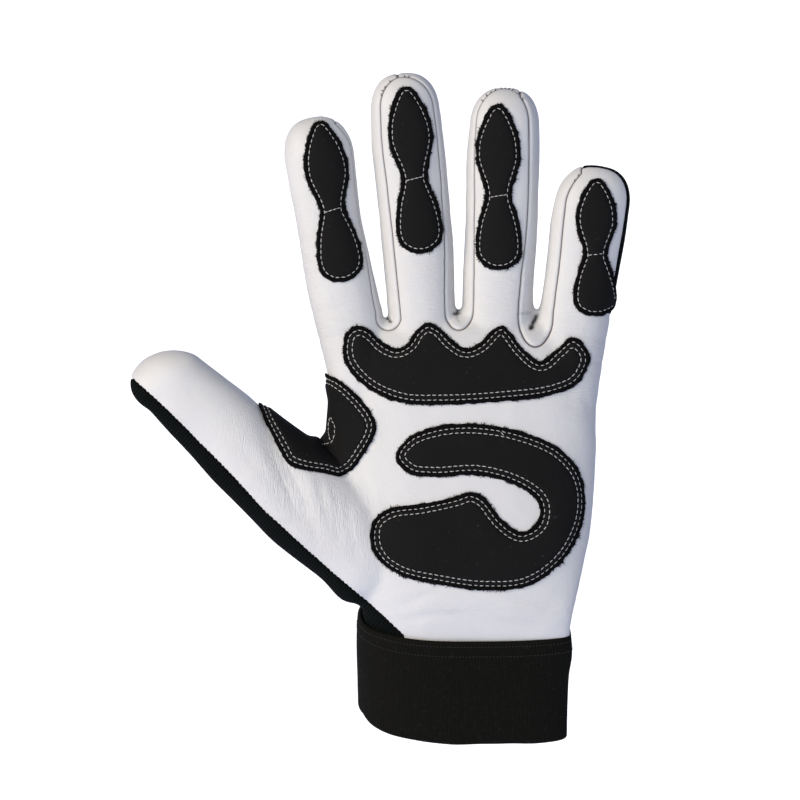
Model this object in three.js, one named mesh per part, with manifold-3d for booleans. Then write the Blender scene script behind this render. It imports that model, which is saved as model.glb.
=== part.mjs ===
// A left-hand gardening glove, seen from its palm: a white leather palm with sewn-in finger sides, a
// knitted black back, a woven elastic cuff and seven black pads. Millimetres, +Z along the middle finger,
// -Y out of the palm. The origin is the centre of the wrist opening. The glove keeps the form that it has
// on a hand.
import * as THREE from 'three';
import { mergeVertices } from 'three/addons/utils/BufferGeometryUtils.js';
import Module from 'manifold-3d';

const wasm = await Module();
wasm.setup();

// Walls and clearances
const WALL = 1.3;
const SEAM_GAP = 0.3;
const PAD_THICKNESS = 1.8;
const CUFF_THICKNESS = 1.8;

// Cuff: a tube along the wrist, which leans back from the palm
const CUFF_HEIGHT = 39;
const CUFF_OVERLAP = 6;
const WRIST_LEAN = THREE.MathUtils.degToRad(28);
const WRIST_WIDTH = 69;
const WRIST_DEPTH = 43;

// Palm: from the top of the cuff to the crotch beside the middle finger, which is the highest point of an
// arch
const PALM_HEIGHT = 100.5;
const PALM_WIDTH = 99;
const PALM_DEPTH = 30;
const KNUCKLE_ARCH = 10;

// Digits: length from the root inside the palm to the tip, and size across at mid length
const INDEX_LENGTH = 95.4;
const INDEX_WIDTH = 23.5;
const INDEX_DEPTH = 19;
const MIDDLE_LENGTH = 109.2;
const MIDDLE_WIDTH = 24.8;
const MIDDLE_DEPTH = 20;
const RING_LENGTH = 104;
const RING_WIDTH = 24.8;
const RING_DEPTH = 19.5;
const LITTLE_LENGTH = 85.7;
const LITTLE_WIDTH = 25.6;
const LITTLE_DEPTH = 18.5;
const THUMB_LENGTH = 112.9;
const THUMB_WIDTH = 28.2;
const THUMB_DEPTH = 24;

// Pads
const FINGER_PAD_LENGTH = 56;
const FINGER_PAD_WIDTH = 16.2;
const LITTLE_PAD_LENGTH = 46.6;
const LITTLE_PAD_WIDTH = 14.4;
const KNUCKLE_PAD_WIDTH = 83.4;
const KNUCKLE_PAD_HEIGHT = 28;
const PALM_PAD_WIDTH = 73;
const PALM_PAD_HEIGHT = 56.2;
const WEB_PAD_WIDTH = 40.5;
const WEB_PAD_HEIGHT = 34.5;
const WEB_PAD_WRAP = 9;

// Roundness of the sections: the power that bends a circle towards a rectangle as it falls below 1
const DIGIT_ROUNDNESS = 0.87;
const TIP_ROUNDNESS = 0.75;
const PALM_ROUNDNESS = 0.8;

// Mesh density
const DIGIT_POINTS = 12;
const PALM_POINTS = 24;
const DOME_STEPS = 3;
const FINGER_OUTLINE_STEPS = 28;
const PALM_OUTLINE_STEPS = 42;
const SHEET_CELL = 16;
const SEAM_STEPS = 4;
const SAMPLE_STEPS = 8;
const MERGE_DISTANCE = 1e-4;

// How high in the round tip the seams of a finger meet, as a share of the tip's length
const TIP_SEAM = 0.88;

// How far behind the middle of a section the leather front ends, as a share of half its depth
const FRONT_REACH = 0.4;

// Where the knit's strip beside the thumb meets the cuff, left of the middle, as a share of WRIST_WIDTH
const EDGE_AT_CUFF = 0.3;

// Palm and wrist, from the top of the cuff to the arch between the fingers. up: share of PALM_HEIGHT.
// knuckle: how far the width and depth have gone from the wrist's to the palm's. left, right, front and
// back: shares of half the width or depth. level: how far in front of the middle the right side sticks
// out most.
const PALM_SECTIONS = [
  { up: 0, knuckle: 0, left: 1, right: 1, front: 1, back: 1, level: 0.8 },
  { up: 0.048, knuckle: 0.12, left: 1.02, right: 1.03, front: 1.06, back: 1, level: 0.7 },
  { up: 0.115, knuckle: 0.4, left: 1, right: 0.97, front: 1.14, back: 1, level: 0.5 },
  { up: 0.24, knuckle: 0.8, left: 0.99, right: 0.91, front: 1.2, back: 1.02, level: 0.3 },
  { up: 0.403, knuckle: 1, left: 0.97, right: 0.89, front: 1.1, back: 1, level: 0.15 },
  { up: 0.576, knuckle: 1, left: 0.95, right: 0.91, front: 1, back: 0.98, level: 0.1 },
  { up: 0.73, knuckle: 1, left: 0.9, right: 0.915, front: 0.95, back: 0.95, level: 0 },
  { up: 0.845, knuckle: 1, left: 0.9, right: 0.95, front: 0.88, back: 0.9, level: 0 },
  { up: 0.92, knuckle: 1, left: 0.95, right: 0.94, front: 0.76, back: 0.78, level: 0 },
  { up: 0.97, knuckle: 1, left: 0.9, right: 0.9, front: 0.55, back: 0.58, level: 0 },
  { up: 1, knuckle: 1, left: 0.82, right: 0.82, front: 0.28, back: 0.3, level: 0 },
];

// How the same sections lie. lean: share of WRIST_LEAN. forward: the middle plane, as a share of
// PALM_DEPTH in front of the cuff's top. arch: share of KNUCKLE_ARCH by which the side edges hang below
// the middle.
const PALM_LINE = [
  { up: 0, lean: 1, forward: 0, arch: 0 },
  { up: 0.048, lean: 0.9, forward: 0.06, arch: 0 },
  { up: 0.115, lean: 0.72, forward: 0.14, arch: 0 },
  { up: 0.24, lean: 0.42, forward: 0.24, arch: 0 },
  { up: 0.403, lean: 0.18, forward: 0.3, arch: 0 },
  { up: 0.576, lean: 0.05, forward: 0.325, arch: 0 },
  { up: 0.73, lean: 0, forward: 0.33, arch: 0.15 },
  { up: 0.845, lean: 0, forward: 0.33, arch: 0.5 },
  { up: 0.92, lean: 0, forward: 0.33, arch: 0.9 },
  { up: 0.97, lean: 0, forward: 0.33, arch: 1 },
  { up: 1, lean: 0, forward: 0.33, arch: 1 },
];

// Cuff, from the rim to the top. along: share of CUFF_HEIGHT. The others are shares of the wrist's half
// sizes.
const CUFF_SECTIONS = [
  { along: 0, left: 0.99, right: 0.965, front: 0.98, back: 0.98, level: 0.8 },
  { along: 0.3, left: 0.995, right: 0.965, front: 0.99, back: 0.99, level: 0.8 },
  { along: 0.62, left: 1, right: 0.975, front: 1, back: 1, level: 0.8 },
  { along: 0.8, left: 1, right: 1, front: 1, back: 1, level: 0.8 },
  { along: 1, left: 1, right: 1, front: 1, back: 1, level: 0.8 },
];

// Digits. across: share of PALM_WIDTH and up: share of PALM_HEIGHT place the root. tilt: degrees from +Z
// to +X. Sections, the last of which carries the round tip: along is a share of the length, left and
// right are shares of half the width, depth is a share of half the depth, forward is a share of the
// depth, and seamLeft and seamRight say where the palm leather ends on either side, as shares of half the
// width.
const DIGITS = {
  index: {
    length: INDEX_LENGTH, width: INDEX_WIDTH, depth: INDEX_DEPTH,
    across: -0.348, up: 0.72, tilt: -9.4,
    sections: [
      { along: 0, left: 0.98, right: 1, depth: 1.12, forward: 0, seamLeft: 2, seamRight: 0.8 },
      { along: 0.21, left: 0.99, right: 0.96, depth: 1.1, forward: 0.03, seamLeft: 2, seamRight: 0.8 },
      { along: 0.34, left: 1.07, right: 0.91, depth: 1.06, forward: 0.06, seamLeft: 2, seamRight: 0.76 },
      { along: 0.48, left: 1.1, right: 0.84, depth: 1.02, forward: 0.1, seamLeft: 2, seamRight: 0.77 },
      { along: 0.61, left: 1.09, right: 0.8, depth: 1, forward: 0.14, seamLeft: 2, seamRight: 0.75 },
      { along: 0.74, left: 1.13, right: 0.84, depth: 0.98, forward: 0.2, seamLeft: 2, seamRight: 0.79 },
      { along: 0.86, left: 1.14, right: 0.88, depth: 0.94, forward: 0.28, seamLeft: 2, seamRight: 0.83 },
    ],
  },
  middle: {
    length: MIDDLE_LENGTH, width: MIDDLE_WIDTH, depth: MIDDLE_DEPTH,
    across: -0.115, up: 0.72, tilt: -5.3,
    sections: [
      { along: 0, left: 0.97, right: 0.97, depth: 1.1, forward: 0, seamLeft: 0.62, seamRight: 0.62 },
      { along: 0.25, left: 0.95, right: 0.95, depth: 1.06, forward: 0.03, seamLeft: 0.64, seamRight: 0.62 },
      { along: 0.45, left: 0.96, right: 1, depth: 1.02, forward: 0.08, seamLeft: 0.655, seamRight: 0.77 },
      { along: 0.65, left: 0.975, right: 1.02, depth: 0.99, forward: 0.15, seamLeft: 0.69, seamRight: 0.84 },
      { along: 0.8, left: 0.97, right: 1.01, depth: 0.96, forward: 0.22, seamLeft: 0.72, seamRight: 0.85 },
      { along: 0.885, left: 0.94, right: 0.975, depth: 0.92, forward: 0.28, seamLeft: 0.68, seamRight: 0.82 },
    ],
  },
  ring: {
    length: RING_LENGTH, width: RING_WIDTH, depth: RING_DEPTH,
    across: 0.096, up: 0.72, tilt: 2.4,
    sections: [
      { along: 0, left: 0.95, right: 0.95, depth: 1.1, forward: 0, seamLeft: 0.63, seamRight: 0.64 },
      { along: 0.25, left: 0.96, right: 0.96, depth: 1.06, forward: 0.03, seamLeft: 0.64, seamRight: 0.66 },
      { along: 0.38, left: 0.95, right: 1.02, depth: 1.03, forward: 0.06, seamLeft: 0.67, seamRight: 0.67 },
      { along: 0.51, left: 0.94, right: 1.06, depth: 1.01, forward: 0.1, seamLeft: 0.71, seamRight: 0.76 },
      { along: 0.65, left: 0.965, right: 1.04, depth: 0.99, forward: 0.15, seamLeft: 0.75, seamRight: 0.775 },
      { along: 0.78, left: 0.97, right: 1.02, depth: 0.96, forward: 0.21, seamLeft: 0.785, seamRight: 0.75 },
      { along: 0.88, left: 0.93, right: 0.985, depth: 0.92, forward: 0.27, seamLeft: 0.78, seamRight: 0.7 },
    ],
  },
  little: {
    length: LITTLE_LENGTH, width: LITTLE_WIDTH, depth: LITTLE_DEPTH,
    across: 0.326, up: 0.648, tilt: 8.7,
    sections: [
      { along: 0, left: 0.9, right: 0.95, depth: 1.12, forward: 0, seamLeft: 0.63, seamRight: 2 },
      { along: 0.3, left: 0.9, right: 0.955, depth: 1.08, forward: 0.03, seamLeft: 0.66, seamRight: 2 },
      { along: 0.45, left: 0.91, right: 0.97, depth: 1.04, forward: 0.07, seamLeft: 0.62, seamRight: 2 },
      { along: 0.6, left: 0.96, right: 1, depth: 1, forward: 0.12, seamLeft: 0.635, seamRight: 2 },
      { along: 0.73, left: 1.01, right: 1.025, depth: 0.97, forward: 0.18, seamLeft: 0.68, seamRight: 2 },
      { along: 0.84, left: 0.99, right: 1.01, depth: 0.92, forward: 0.24, seamLeft: 0.71, seamRight: 2 },
    ],
  },
  thumb: {
    length: THUMB_LENGTH, width: THUMB_WIDTH, depth: THUMB_DEPTH,
    across: -0.247, up: 0.1065, tilt: -49,
    sections: [
      { along: 0, left: 0.95, right: 1.1, depth: 1.2, forward: 0.12, seamLeft: 0.9, seamRight: 2 },
      { along: 0.06, left: 1.25, right: 1.2, depth: 1.36, forward: 0.15, seamLeft: 0.9, seamRight: 2 },
      { along: 0.15, left: 1.195, right: 1.25, depth: 1.42, forward: 0.2, seamLeft: 0.905, seamRight: 2 },
      { along: 0.25, left: 1.24, right: 1.25, depth: 1.38, forward: 0.26, seamLeft: 0.9, seamRight: 2 },
      { along: 0.345, left: 1.27, right: 1.2, depth: 1.3, forward: 0.32, seamLeft: 0.875, seamRight: 2 },
      { along: 0.43, left: 1.21, right: 1.12, depth: 1.22, forward: 0.36, seamLeft: 0.85, seamRight: 2 },
      { along: 0.51, left: 1.16, right: 1.05, depth: 1.15, forward: 0.4, seamLeft: 0.77, seamRight: 2 },
      { along: 0.6, left: 1.11, right: 0.98, depth: 1.08, forward: 0.44, seamLeft: 0.7, seamRight: 2 },
      { along: 0.7, left: 1, right: 0.96, depth: 1.01, forward: 0.48, seamLeft: 0.645, seamRight: 2 },
      { along: 0.8, left: 0.92, right: 0.94, depth: 0.94, forward: 0.52, seamLeft: 0.575, seamRight: 2 },
      { along: 0.885, left: 0.87, right: 0.9, depth: 0.88, forward: 0.55, seamLeft: 0.545, seamRight: 2 },
    ],
  },
};

// Fourchettes: each runs from the left digit's right side to the right digit's left side.
// drop: how far the strip reaches below the crotch, as a share of PALM_HEIGHT.
const FOURCHETTES = [
  { name: 'fourchette_index_middle', left: 'index', right: 'middle', drop: 0.044 },
  { name: 'fourchette_middle_ring', left: 'middle', right: 'ring', drop: 0.065 },
  { name: 'fourchette_ring_little', left: 'ring', right: 'little', drop: 0.087 },
];

// Half of a finger pad's hourglass, from its lower end to its tip. along: share of its length.
// half: share of half its width.
const HOURGLASS = [
  { along: 0.03, half: 0.36 },
  { along: 0.12, half: 0.86 },
  { along: 0.2, half: 1 },
  { along: 0.3, half: 0.88 },
  { along: 0.46, half: 0.54 },
  { along: 0.62, half: 0.84 },
  { along: 0.72, half: 0.96 },
  { along: 0.83, half: 0.78 },
  { along: 0.95, half: 0.3 },
];

// Where the hourglasses sit. along: share of the digit's length. side: share of the digit's half width.
// turn: degrees against the digit's own tilt.
const FINGER_PADS = [
  { digit: 'index', along: 0.695, side: 0.04, turn: 2.8, length: FINGER_PAD_LENGTH, width: FINGER_PAD_WIDTH },
  { digit: 'middle', along: 0.698, side: 0.06, turn: 0.7, length: FINGER_PAD_LENGTH, width: FINGER_PAD_WIDTH },
  { digit: 'ring', along: 0.673, side: -0.06, turn: -2, length: FINGER_PAD_LENGTH, width: FINGER_PAD_WIDTH },
  { digit: 'little', along: 0.67, side: 0.27, turn: -8, length: LITTLE_PAD_LENGTH, width: LITTLE_PAD_WIDTH },
];

// Outlines of the palm's pads, anticlockwise from the left. x, z: shares of the pad's width and height.
const KNUCKLE_OUTLINE = [
  { x: 0, z: 0.7 }, { x: 0.03, z: 0.42 }, { x: 0.123, z: 0.15 }, { x: 0.317, z: 0 },
  { x: 0.59, z: 0.05 }, { x: 0.857, z: 0.125 }, { x: 0.96, z: 0.28 }, { x: 1, z: 0.6 },
  { x: 0.935, z: 0.82 }, { x: 0.86, z: 0.66 }, { x: 0.8, z: 0.526 }, { x: 0.73, z: 0.68 },
  { x: 0.643, z: 0.97 }, { x: 0.575, z: 0.79 }, { x: 0.506, z: 0.695 }, { x: 0.43, z: 0.83 },
  { x: 0.357, z: 1 }, { x: 0.293, z: 0.85 }, { x: 0.212, z: 0.69 }, { x: 0.131, z: 0.87 },
  { x: 0.067, z: 0.97 }, { x: 0.018, z: 0.9 },
];
const HOOK_OUTLINE = [
  { x: 0.015, z: 0.4 }, { x: 0.015, z: 0.24 }, { x: 0.13, z: 0.1 }, { x: 0.333, z: 0.033 },
  { x: 0.532, z: 0 }, { x: 0.732, z: 0.022 }, { x: 0.898, z: 0.173 }, { x: 0.99, z: 0.411 },
  { x: 0.985, z: 0.68 }, { x: 0.89, z: 0.843 }, { x: 0.707, z: 0.952 }, { x: 0.499, z: 1 },
  { x: 0.316, z: 0.984 }, { x: 0.18, z: 0.915 }, { x: 0.123, z: 0.8 }, { x: 0.19, z: 0.7 },
  { x: 0.3, z: 0.68 }, { x: 0.516, z: 0.689 }, { x: 0.707, z: 0.611 }, { x: 0.785, z: 0.52 },
  { x: 0.778, z: 0.405 }, { x: 0.705, z: 0.351 }, { x: 0.62, z: 0.42 }, { x: 0.533, z: 0.557 },
  { x: 0.47, z: 0.59 }, { x: 0.399, z: 0.562 }, { x: 0.25, z: 0.52 }, { x: 0.091, z: 0.487 },
];
const WEB_OUTLINE = [
  { x: -0.06, z: 0.8 }, { x: 0.053, z: 0.599 }, { x: 0.188, z: 0.281 }, { x: 0.263, z: 0.132 },
  { x: 0.381, z: 0.07 }, { x: 0.592, z: 0.026 }, { x: 0.697, z: 0 }, { x: 0.8, z: 0.06 },
  { x: 0.907, z: 0.229 }, { x: 0.982, z: 0.389 }, { x: 1, z: 0.528 }, { x: 0.937, z: 0.669 },
  { x: 0.832, z: 0.81 }, { x: 0.712, z: 0.933 }, { x: 0.599, z: 1 }, { x: 0.4, z: 1.05 },
  { x: 0.1, z: 1 },
];

// Lower left corner of each palm pad, as shares of PALM_WIDTH across and PALM_HEIGHT up
const PALM_PADS = [
  {
    name: 'patch_knuckle', outline: KNUCKLE_OUTLINE, across: -0.415, up: 0.682,
    width: KNUCKLE_PAD_WIDTH, height: KNUCKLE_PAD_HEIGHT,
  },
  {
    name: 'patch_palm', outline: HOOK_OUTLINE, across: -0.327, up: 0.059,
    width: PALM_PAD_WIDTH, height: PALM_PAD_HEIGHT,
  },
  {
    name: 'patch_web', outline: WEB_OUTLINE, across: -0.712, up: 0.441,
    width: WEB_PAD_WIDTH, height: WEB_PAD_HEIGHT,
  },
];

// For solids that only cut: past every point of the glove, and past a digit's tip as a share of its length
const FAR = 2 * (PALM_HEIGHT + MIDDLE_LENGTH);
const PAST_TIP = 1.15;

const wristAxis = new THREE.Vector3(0, -Math.sin(WRIST_LEAN), Math.cos(WRIST_LEAN));
const cuffTop = wristAxis.clone().multiplyScalar(CUFF_HEIGHT);
const across = new THREE.Vector3(1, 0, 0);

// Every column of a table at t, on a smooth curve through its rows
function rowAt(rows, key, t) {
  const high = THREE.MathUtils.clamp(rows.findIndex((row) => row[key] > t), -1, rows.length - 1);
  const i = high < 0 ? rows.length - 2 : Math.max(high - 1, 0);
  const [a, b] = [rows[i], rows[i + 1]];
  const before = rows[i - 1] ?? a;
  const after = rows[i + 2] ?? b;
  const span = b[key] - a[key];
  const share = THREE.MathUtils.clamp((t - a[key]) / span, 0, 1);
  const [s2, s3] = [share ** 2, share ** 3];
  const row = {};
  for (const column of Object.keys(a)) {
    const slopeA = ((b[column] - before[column]) / (b[key] - before[key])) * span;
    const slopeB = ((after[column] - a[column]) / (after[key] - a[key])) * span;
    row[column] = a[column] * (2 * s3 - 3 * s2 + 1) + slopeA * (s3 - 2 * s2 + share)
      + b[column] * (3 * s2 - 2 * s3) + slopeB * (s3 - s2);
  }
  return row;
}

// One closed section. side and back are unit vectors; level is the depth at which the right side is widest.
function ring(centre, side, back, size, count, roundness) {
  const points = [];
  for (let k = 0; k < count; k += 1) {
    const angle = (2 * Math.PI * k) / count;
    const [c, s] = [Math.cos(angle), Math.sin(angle)];
    const level = c > 0 ? size.level : 0;
    const reach = s > 0 ? size.back + level : size.front - level;
    const wide = Math.sign(c) * Math.abs(c) ** roundness * (c > 0 ? size.right : size.left);
    const deep = Math.sign(s) * Math.abs(s) ** roundness * reach - level;
    points.push(centre.clone().addScaledVector(side, wide).addScaledVector(back, deep));
  }
  return points;
}

// A solid through rings that run upwards, closed by a point at each end
function loft(rings, bottom, top) {
  const count = rings[0].length;
  const vertices = [bottom, ...rings.flat(), top];
  const at = (i, k) => 1 + i * count + (k % count);
  const faces = [];
  for (let k = 0; k < count; k += 1) {
    faces.push(0, at(0, k + 1), at(0, k));
    for (let i = 0; i < rings.length - 1; i += 1) {
      faces.push(at(i, k), at(i, k + 1), at(i + 1, k + 1));
      faces.push(at(i, k), at(i + 1, k + 1), at(i + 1, k));
    }
    faces.push(vertices.length - 1, at(rings.length - 1, k), at(rings.length - 1, k + 1));
  }
  const geometry = new THREE.BufferGeometry().setFromPoints(vertices);
  geometry.setIndex(faces);
  return solid(geometry);
}

// A closed geometry as a solid that can be joined and cut
function solid(geometry) {
  const bare = new THREE.BufferGeometry();
  bare.setAttribute('position', geometry.getAttribute('position'));
  bare.setIndex(geometry.getIndex());
  const merged = mergeVertices(bare, MERGE_DISTANCE);
  return new wasm.Manifold(new wasm.Mesh({
    numProp: 3,
    vertProperties: new Float32Array(merged.getAttribute('position').array),
    triVerts: new Uint32Array(merged.getIndex().array),
  }));
}

// The middle plane of the palm and wrist at a share up the palm
function palmCentre(up) {
  const { forward } = rowAt(PALM_LINE, 'up', up);
  return new THREE.Vector3(0, cuffTop.y - forward * PALM_DEPTH, cuffTop.z + up * PALM_HEIGHT);
}

// How far the arch between the fingers has fallen at a distance from the middle
function archAt(x) {
  return KNUCKLE_ARCH * (x / (PALM_WIDTH / 2)) ** 2;
}

// The direction out of a section's back, where it still has a share of the wrist's lean
function backAt(lean) {
  return new THREE.Vector3(0, Math.cos(lean * WRIST_LEAN), Math.sin(lean * WRIST_LEAN));
}

function palmSize(row, grow) {
  const width = THREE.MathUtils.lerp(WRIST_WIDTH, PALM_WIDTH, row.knuckle) / 2;
  const depth = THREE.MathUtils.lerp(WRIST_DEPTH, PALM_DEPTH, row.knuckle) / 2;
  return {
    left: row.left * width + grow, right: row.right * width + grow,
    front: row.front * depth + grow, back: row.back * depth + grow,
    level: row.level * row.front * depth,
  };
}

// The palm and wrist, grown all over by a length and run down into the cuff
function palmForm(grow, run) {
  const hem = palmSize(PALM_SECTIONS[0], grow);
  const rings = [run, run / 2].map((below) => {
    const centre = cuffTop.clone().addScaledVector(wristAxis, -below);
    return ring(centre, across, backAt(1), hem, PALM_POINTS, PALM_ROUNDNESS);
  });
  for (const row of PALM_SECTIONS) {
    const line = rowAt(PALM_LINE, 'up', row.up);
    const back = backAt(line.lean);
    const points = ring(palmCentre(row.up), across, back, palmSize(row, grow), PALM_POINTS, PALM_ROUNDNESS);
    for (const point of points) {
      point.z += line.arch * (grow - archAt(point.x));
    }
    rings.push(points);
  }
  const bottom = cuffTop.clone().addScaledVector(wristAxis, -run);
  const top = palmCentre(1);
  top.z += grow;
  return loft(rings, bottom, top);
}

// The line through the middle of a digit
function digitAxis(digit) {
  const tilt = THREE.MathUtils.degToRad(digit.tilt);
  const root = palmCentre(digit.up);
  root.x = digit.across * PALM_WIDTH;
  const axis = new THREE.Vector3(Math.sin(tilt), 0, Math.cos(tilt));
  const side = new THREE.Vector3(Math.cos(tilt), 0, -Math.sin(tilt));
  return { root, axis, side };
}

// A point of a digit: a share along its length, a share of half its width to the right of its axis
function digitPoint(digit, along, share) {
  const { root, axis, side } = digitAxis(digit);
  const row = rowAt(digit.sections, 'along', along);
  const point = root.clone().addScaledVector(axis, along * digit.length);
  point.addScaledVector(side, (share * digit.width) / 2);
  point.y -= row.forward * digit.depth;
  return point;
}

// A digit, grown all over by a length: sections up to the last row, then a round tip
function digitForm(digit, grow) {
  const { side } = digitAxis(digit);
  const back = new THREE.Vector3(0, 1, 0);
  const last = digit.sections.at(-1);
  const section = (row, along, lift, scale) => {
    const middle = (row.right - row.left) / 2;
    const half = scale * ((((row.right + row.left) / 2) * digit.width) / 2 + grow);
    const deep = scale * ((row.depth * digit.depth) / 2 + grow);
    const centre = digitPoint(digit, along, middle);
    centre.addScaledVector(digitAxis(digit).axis, lift);
    const size = { left: half, right: half, front: deep, back: deep, level: 0 };
    return { centre, points: ring(centre, side, back, size, DIGIT_POINTS, DIGIT_ROUNDNESS) };
  };
  const rings = digit.sections.map((row) => section(row, row.along, 0, 1).points);
  const dome = (1 - last.along) * digit.length + grow;
  for (let step = 1; step < DOME_STEPS; step += 1) {
    const angle = (Math.PI / 2) * (step / DOME_STEPS);
    rings.push(section(last, last.along, dome * Math.sin(angle), Math.cos(angle) ** TIP_ROUNDNESS).points);
  }
  const root = section(digit.sections[0], 0, 0, 1).centre;
  return loft(rings, root, section(last, last.along, dome, 0).centre);
}

// The whole hand shape, grown all over by a length; run is how far the wrist goes down into the cuff
function gloveForm(grow, run) {
  return Object.values(DIGITS).reduce((form, digit) => form.add(digitForm(digit, grow)), palmForm(grow, run));
}

// Places that the joint between front and back passes through: down the wrist, up the palm and along the
// digits
function seamSamples() {
  const samples = [];
  const row = (centre, size) => {
    for (const share of [-0.6, 0, 0.6]) {
      samples.push({ x: share * size.left, z: centre.z, y: centre.y + FRONT_REACH * size.back });
    }
  };
  for (const below of [0.9, 0.6, 0.3]) {
    const centre = cuffTop.clone().addScaledVector(wristAxis, -below * CUFF_HEIGHT);
    row(centre, palmSize(PALM_SECTIONS[0], 0));
  }
  for (let step = 0; step <= SAMPLE_STEPS; step += 1) {
    const up = step / SAMPLE_STEPS;
    row(palmCentre(up), palmSize(rowAt(PALM_SECTIONS, 'up', up), 0));
  }
  for (const digit of Object.values(DIGITS)) {
    for (let step = 2; step <= SAMPLE_STEPS; step += 1) {
      const along = step / SAMPLE_STEPS;
      const point = digitPoint(digit, along, 0);
      const { depth } = rowAt(digit.sections, 'along', along);
      samples.push({ x: point.x, z: point.z, y: point.y + (FRONT_REACH * depth * digit.depth) / 2 });
    }
  }
  return samples;
}

// Everything behind the joint between front and back, moved back by a length
function behind(shift) {
  const samples = seamSamples();
  const depthAt = (x, z) => {
    let [sum, weights] = [0, 0];
    for (const sample of samples) {
      const weight = 1 / ((x - sample.x) ** 2 + (z - sample.z) ** 2 + SHEET_CELL) ** 2;
      sum += weight * sample.y;
      weights += weight;
    }
    return sum / weights + shift;
  };
  const wide = 2 * (THUMB_LENGTH + PALM_WIDTH);
  const high = CUFF_HEIGHT + PALM_HEIGHT + MIDDLE_LENGTH;
  const low = -CUFF_HEIGHT;
  const block = new THREE.BoxGeometry(
    wide, FAR, high - low, Math.ceil(wide / SHEET_CELL), 1, Math.ceil((high - low) / SHEET_CELL),
  );
  block.translate(0, FAR / 2, (high + low) / 2);
  const position = block.getAttribute('position');
  for (let i = 0; i < position.count; i += 1) {
    if (position.getY(i) < FAR / 2) {
      position.setY(i, depthAt(position.getX(i), position.getZ(i)));
    }
  }
  return solid(block);
}

// An outline in the XZ plane pushed right through the glove from front to back
function prism(points) {
  const shape = new THREE.Shape(points.map((point) => new THREE.Vector2(point.x, point.z)));
  const geometry = new THREE.ExtrudeGeometry(shape, { depth: 2 * FAR, bevelEnabled: false });
  geometry.rotateX(Math.PI / 2);
  geometry.translate(0, FAR, 0);
  return solid(geometry);
}

// A smooth closed outline through points
function smooth(points, steps) {
  const curve = new THREE.CatmullRomCurve3(points, true, 'centripetal');
  return curve.getSpacedPoints(steps).slice(0, -1);
}

// The line where the palm leather ends on one side of a digit, from the crotch up and over the tip. hand
// is -1 for the left side and 1 for the right. shift moves it towards the digit's middle. start: height
// of its lower end.
function digitSeam(digit, hand, shift, start) {
  const column = hand < 0 ? 'seamLeft' : 'seamRight';
  const last = digit.sections.at(-1);
  const half = digit.width / 2;
  const { root, axis } = digitAxis(digit);
  const from = (start - root.z) / (axis.z * digit.length);
  const points = [];
  for (let step = 0; step < SEAM_STEPS; step += 1) {
    const along = THREE.MathUtils.lerp(from, last.along, step / SEAM_STEPS);
    const share = rowAt(digit.sections, 'along', along)[column] - shift / half;
    points.push(digitPoint(digit, along, hand * share));
  }
  const middle = (last.right - last.left) / 2 + (hand * (SEAM_GAP - shift)) / (2 * half);
  const offset = hand * (last[column] - shift / half) - middle;
  const rise = TIP_SEAM * (1 - last.along) - shift / digit.length;
  for (let step = 0; step <= DOME_STEPS; step += 1) {
    const angle = (Math.PI / 2) * (step / DOME_STEPS);
    points.push(digitPoint(digit, last.along + rise * Math.sin(angle), middle + offset * Math.cos(angle)));
  }
  points.push(digitPoint(digit, PAST_TIP, middle));
  return points;
}

// The space of a fourchette, seen from the palm: between two seams, round the crotch and over both tips
function fourchetteSpace(strip, shift) {
  const [left, right] = [DIGITS[strip.left], DIGITS[strip.right]];
  const between = (left.across + right.across) * PALM_WIDTH / 2;
  const crotch = cuffTop.z + PALM_HEIGHT - archAt(between);
  const down = digitSeam(left, 1, shift, crotch).reverse();
  const up = digitSeam(right, -1, shift, crotch);
  const [from, to] = [down.at(-1), up[0]];
  const low = crotch - strip.drop * PALM_HEIGHT - shift;
  const bend = [1, 2, 3, 4, 5].map((step) => {
    const angle = (Math.PI * step) / 6;
    const point = from.clone().lerp(to, (1 - Math.cos(angle)) / 2);
    point.z = THREE.MathUtils.lerp(crotch, low, Math.sin(angle));
    return point;
  });
  return prism([...down, ...bend, ...up]);
}

// The knit's strip along the outer edge of the thumb, seen from the palm, down to the cuff
function thumbEdge(shift) {
  const thumb = DIGITS.thumb;
  const inset = shift / (thumb.width / 2);
  const seam = thumb.sections.map((row) => digitPoint(thumb, row.along, inset - row.seamLeft));
  const tip = digitPoint(thumb, PAST_TIP, inset - thumb.sections.at(-1).seamLeft);
  const frontEdge = cuffTop.z - (WRIST_DEPTH / 2) * Math.sin(WRIST_LEAN);
  const cuff = new THREE.Vector3(shift - EDGE_AT_CUFF * WRIST_WIDTH, 0, frontEdge);
  const low = cuff.clone().setZ(-FAR);
  const outside = [tip.clone().setX(-FAR), low.clone().setX(-FAR)];
  return prism([low, cuff, ...seam, tip, ...outside]);
}

function fingerPadOutline(pad) {
  const digit = DIGITS[pad.digit];
  const centre = digitPoint(digit, pad.along, pad.side);
  const { axis, side } = digitAxis(digit);
  const turn = THREE.MathUtils.degToRad(pad.turn);
  const long = axis.clone().multiplyScalar(Math.cos(turn)).addScaledVector(side, Math.sin(turn));
  const wide = side.clone().multiplyScalar(Math.cos(turn)).addScaledVector(axis, -Math.sin(turn));
  const at = (along, half) => centre.clone()
    .addScaledVector(long, (along - 0.5) * pad.length)
    .addScaledVector(wide, (half * pad.width) / 2);
  const rightSide = HOURGLASS.map((row) => at(row.along, row.half));
  const leftSide = HOURGLASS.map((row) => at(row.along, -row.half)).reverse();
  return smooth([at(0, 0), ...rightSide, at(1, 0), ...leftSide], FINGER_OUTLINE_STEPS);
}

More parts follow.
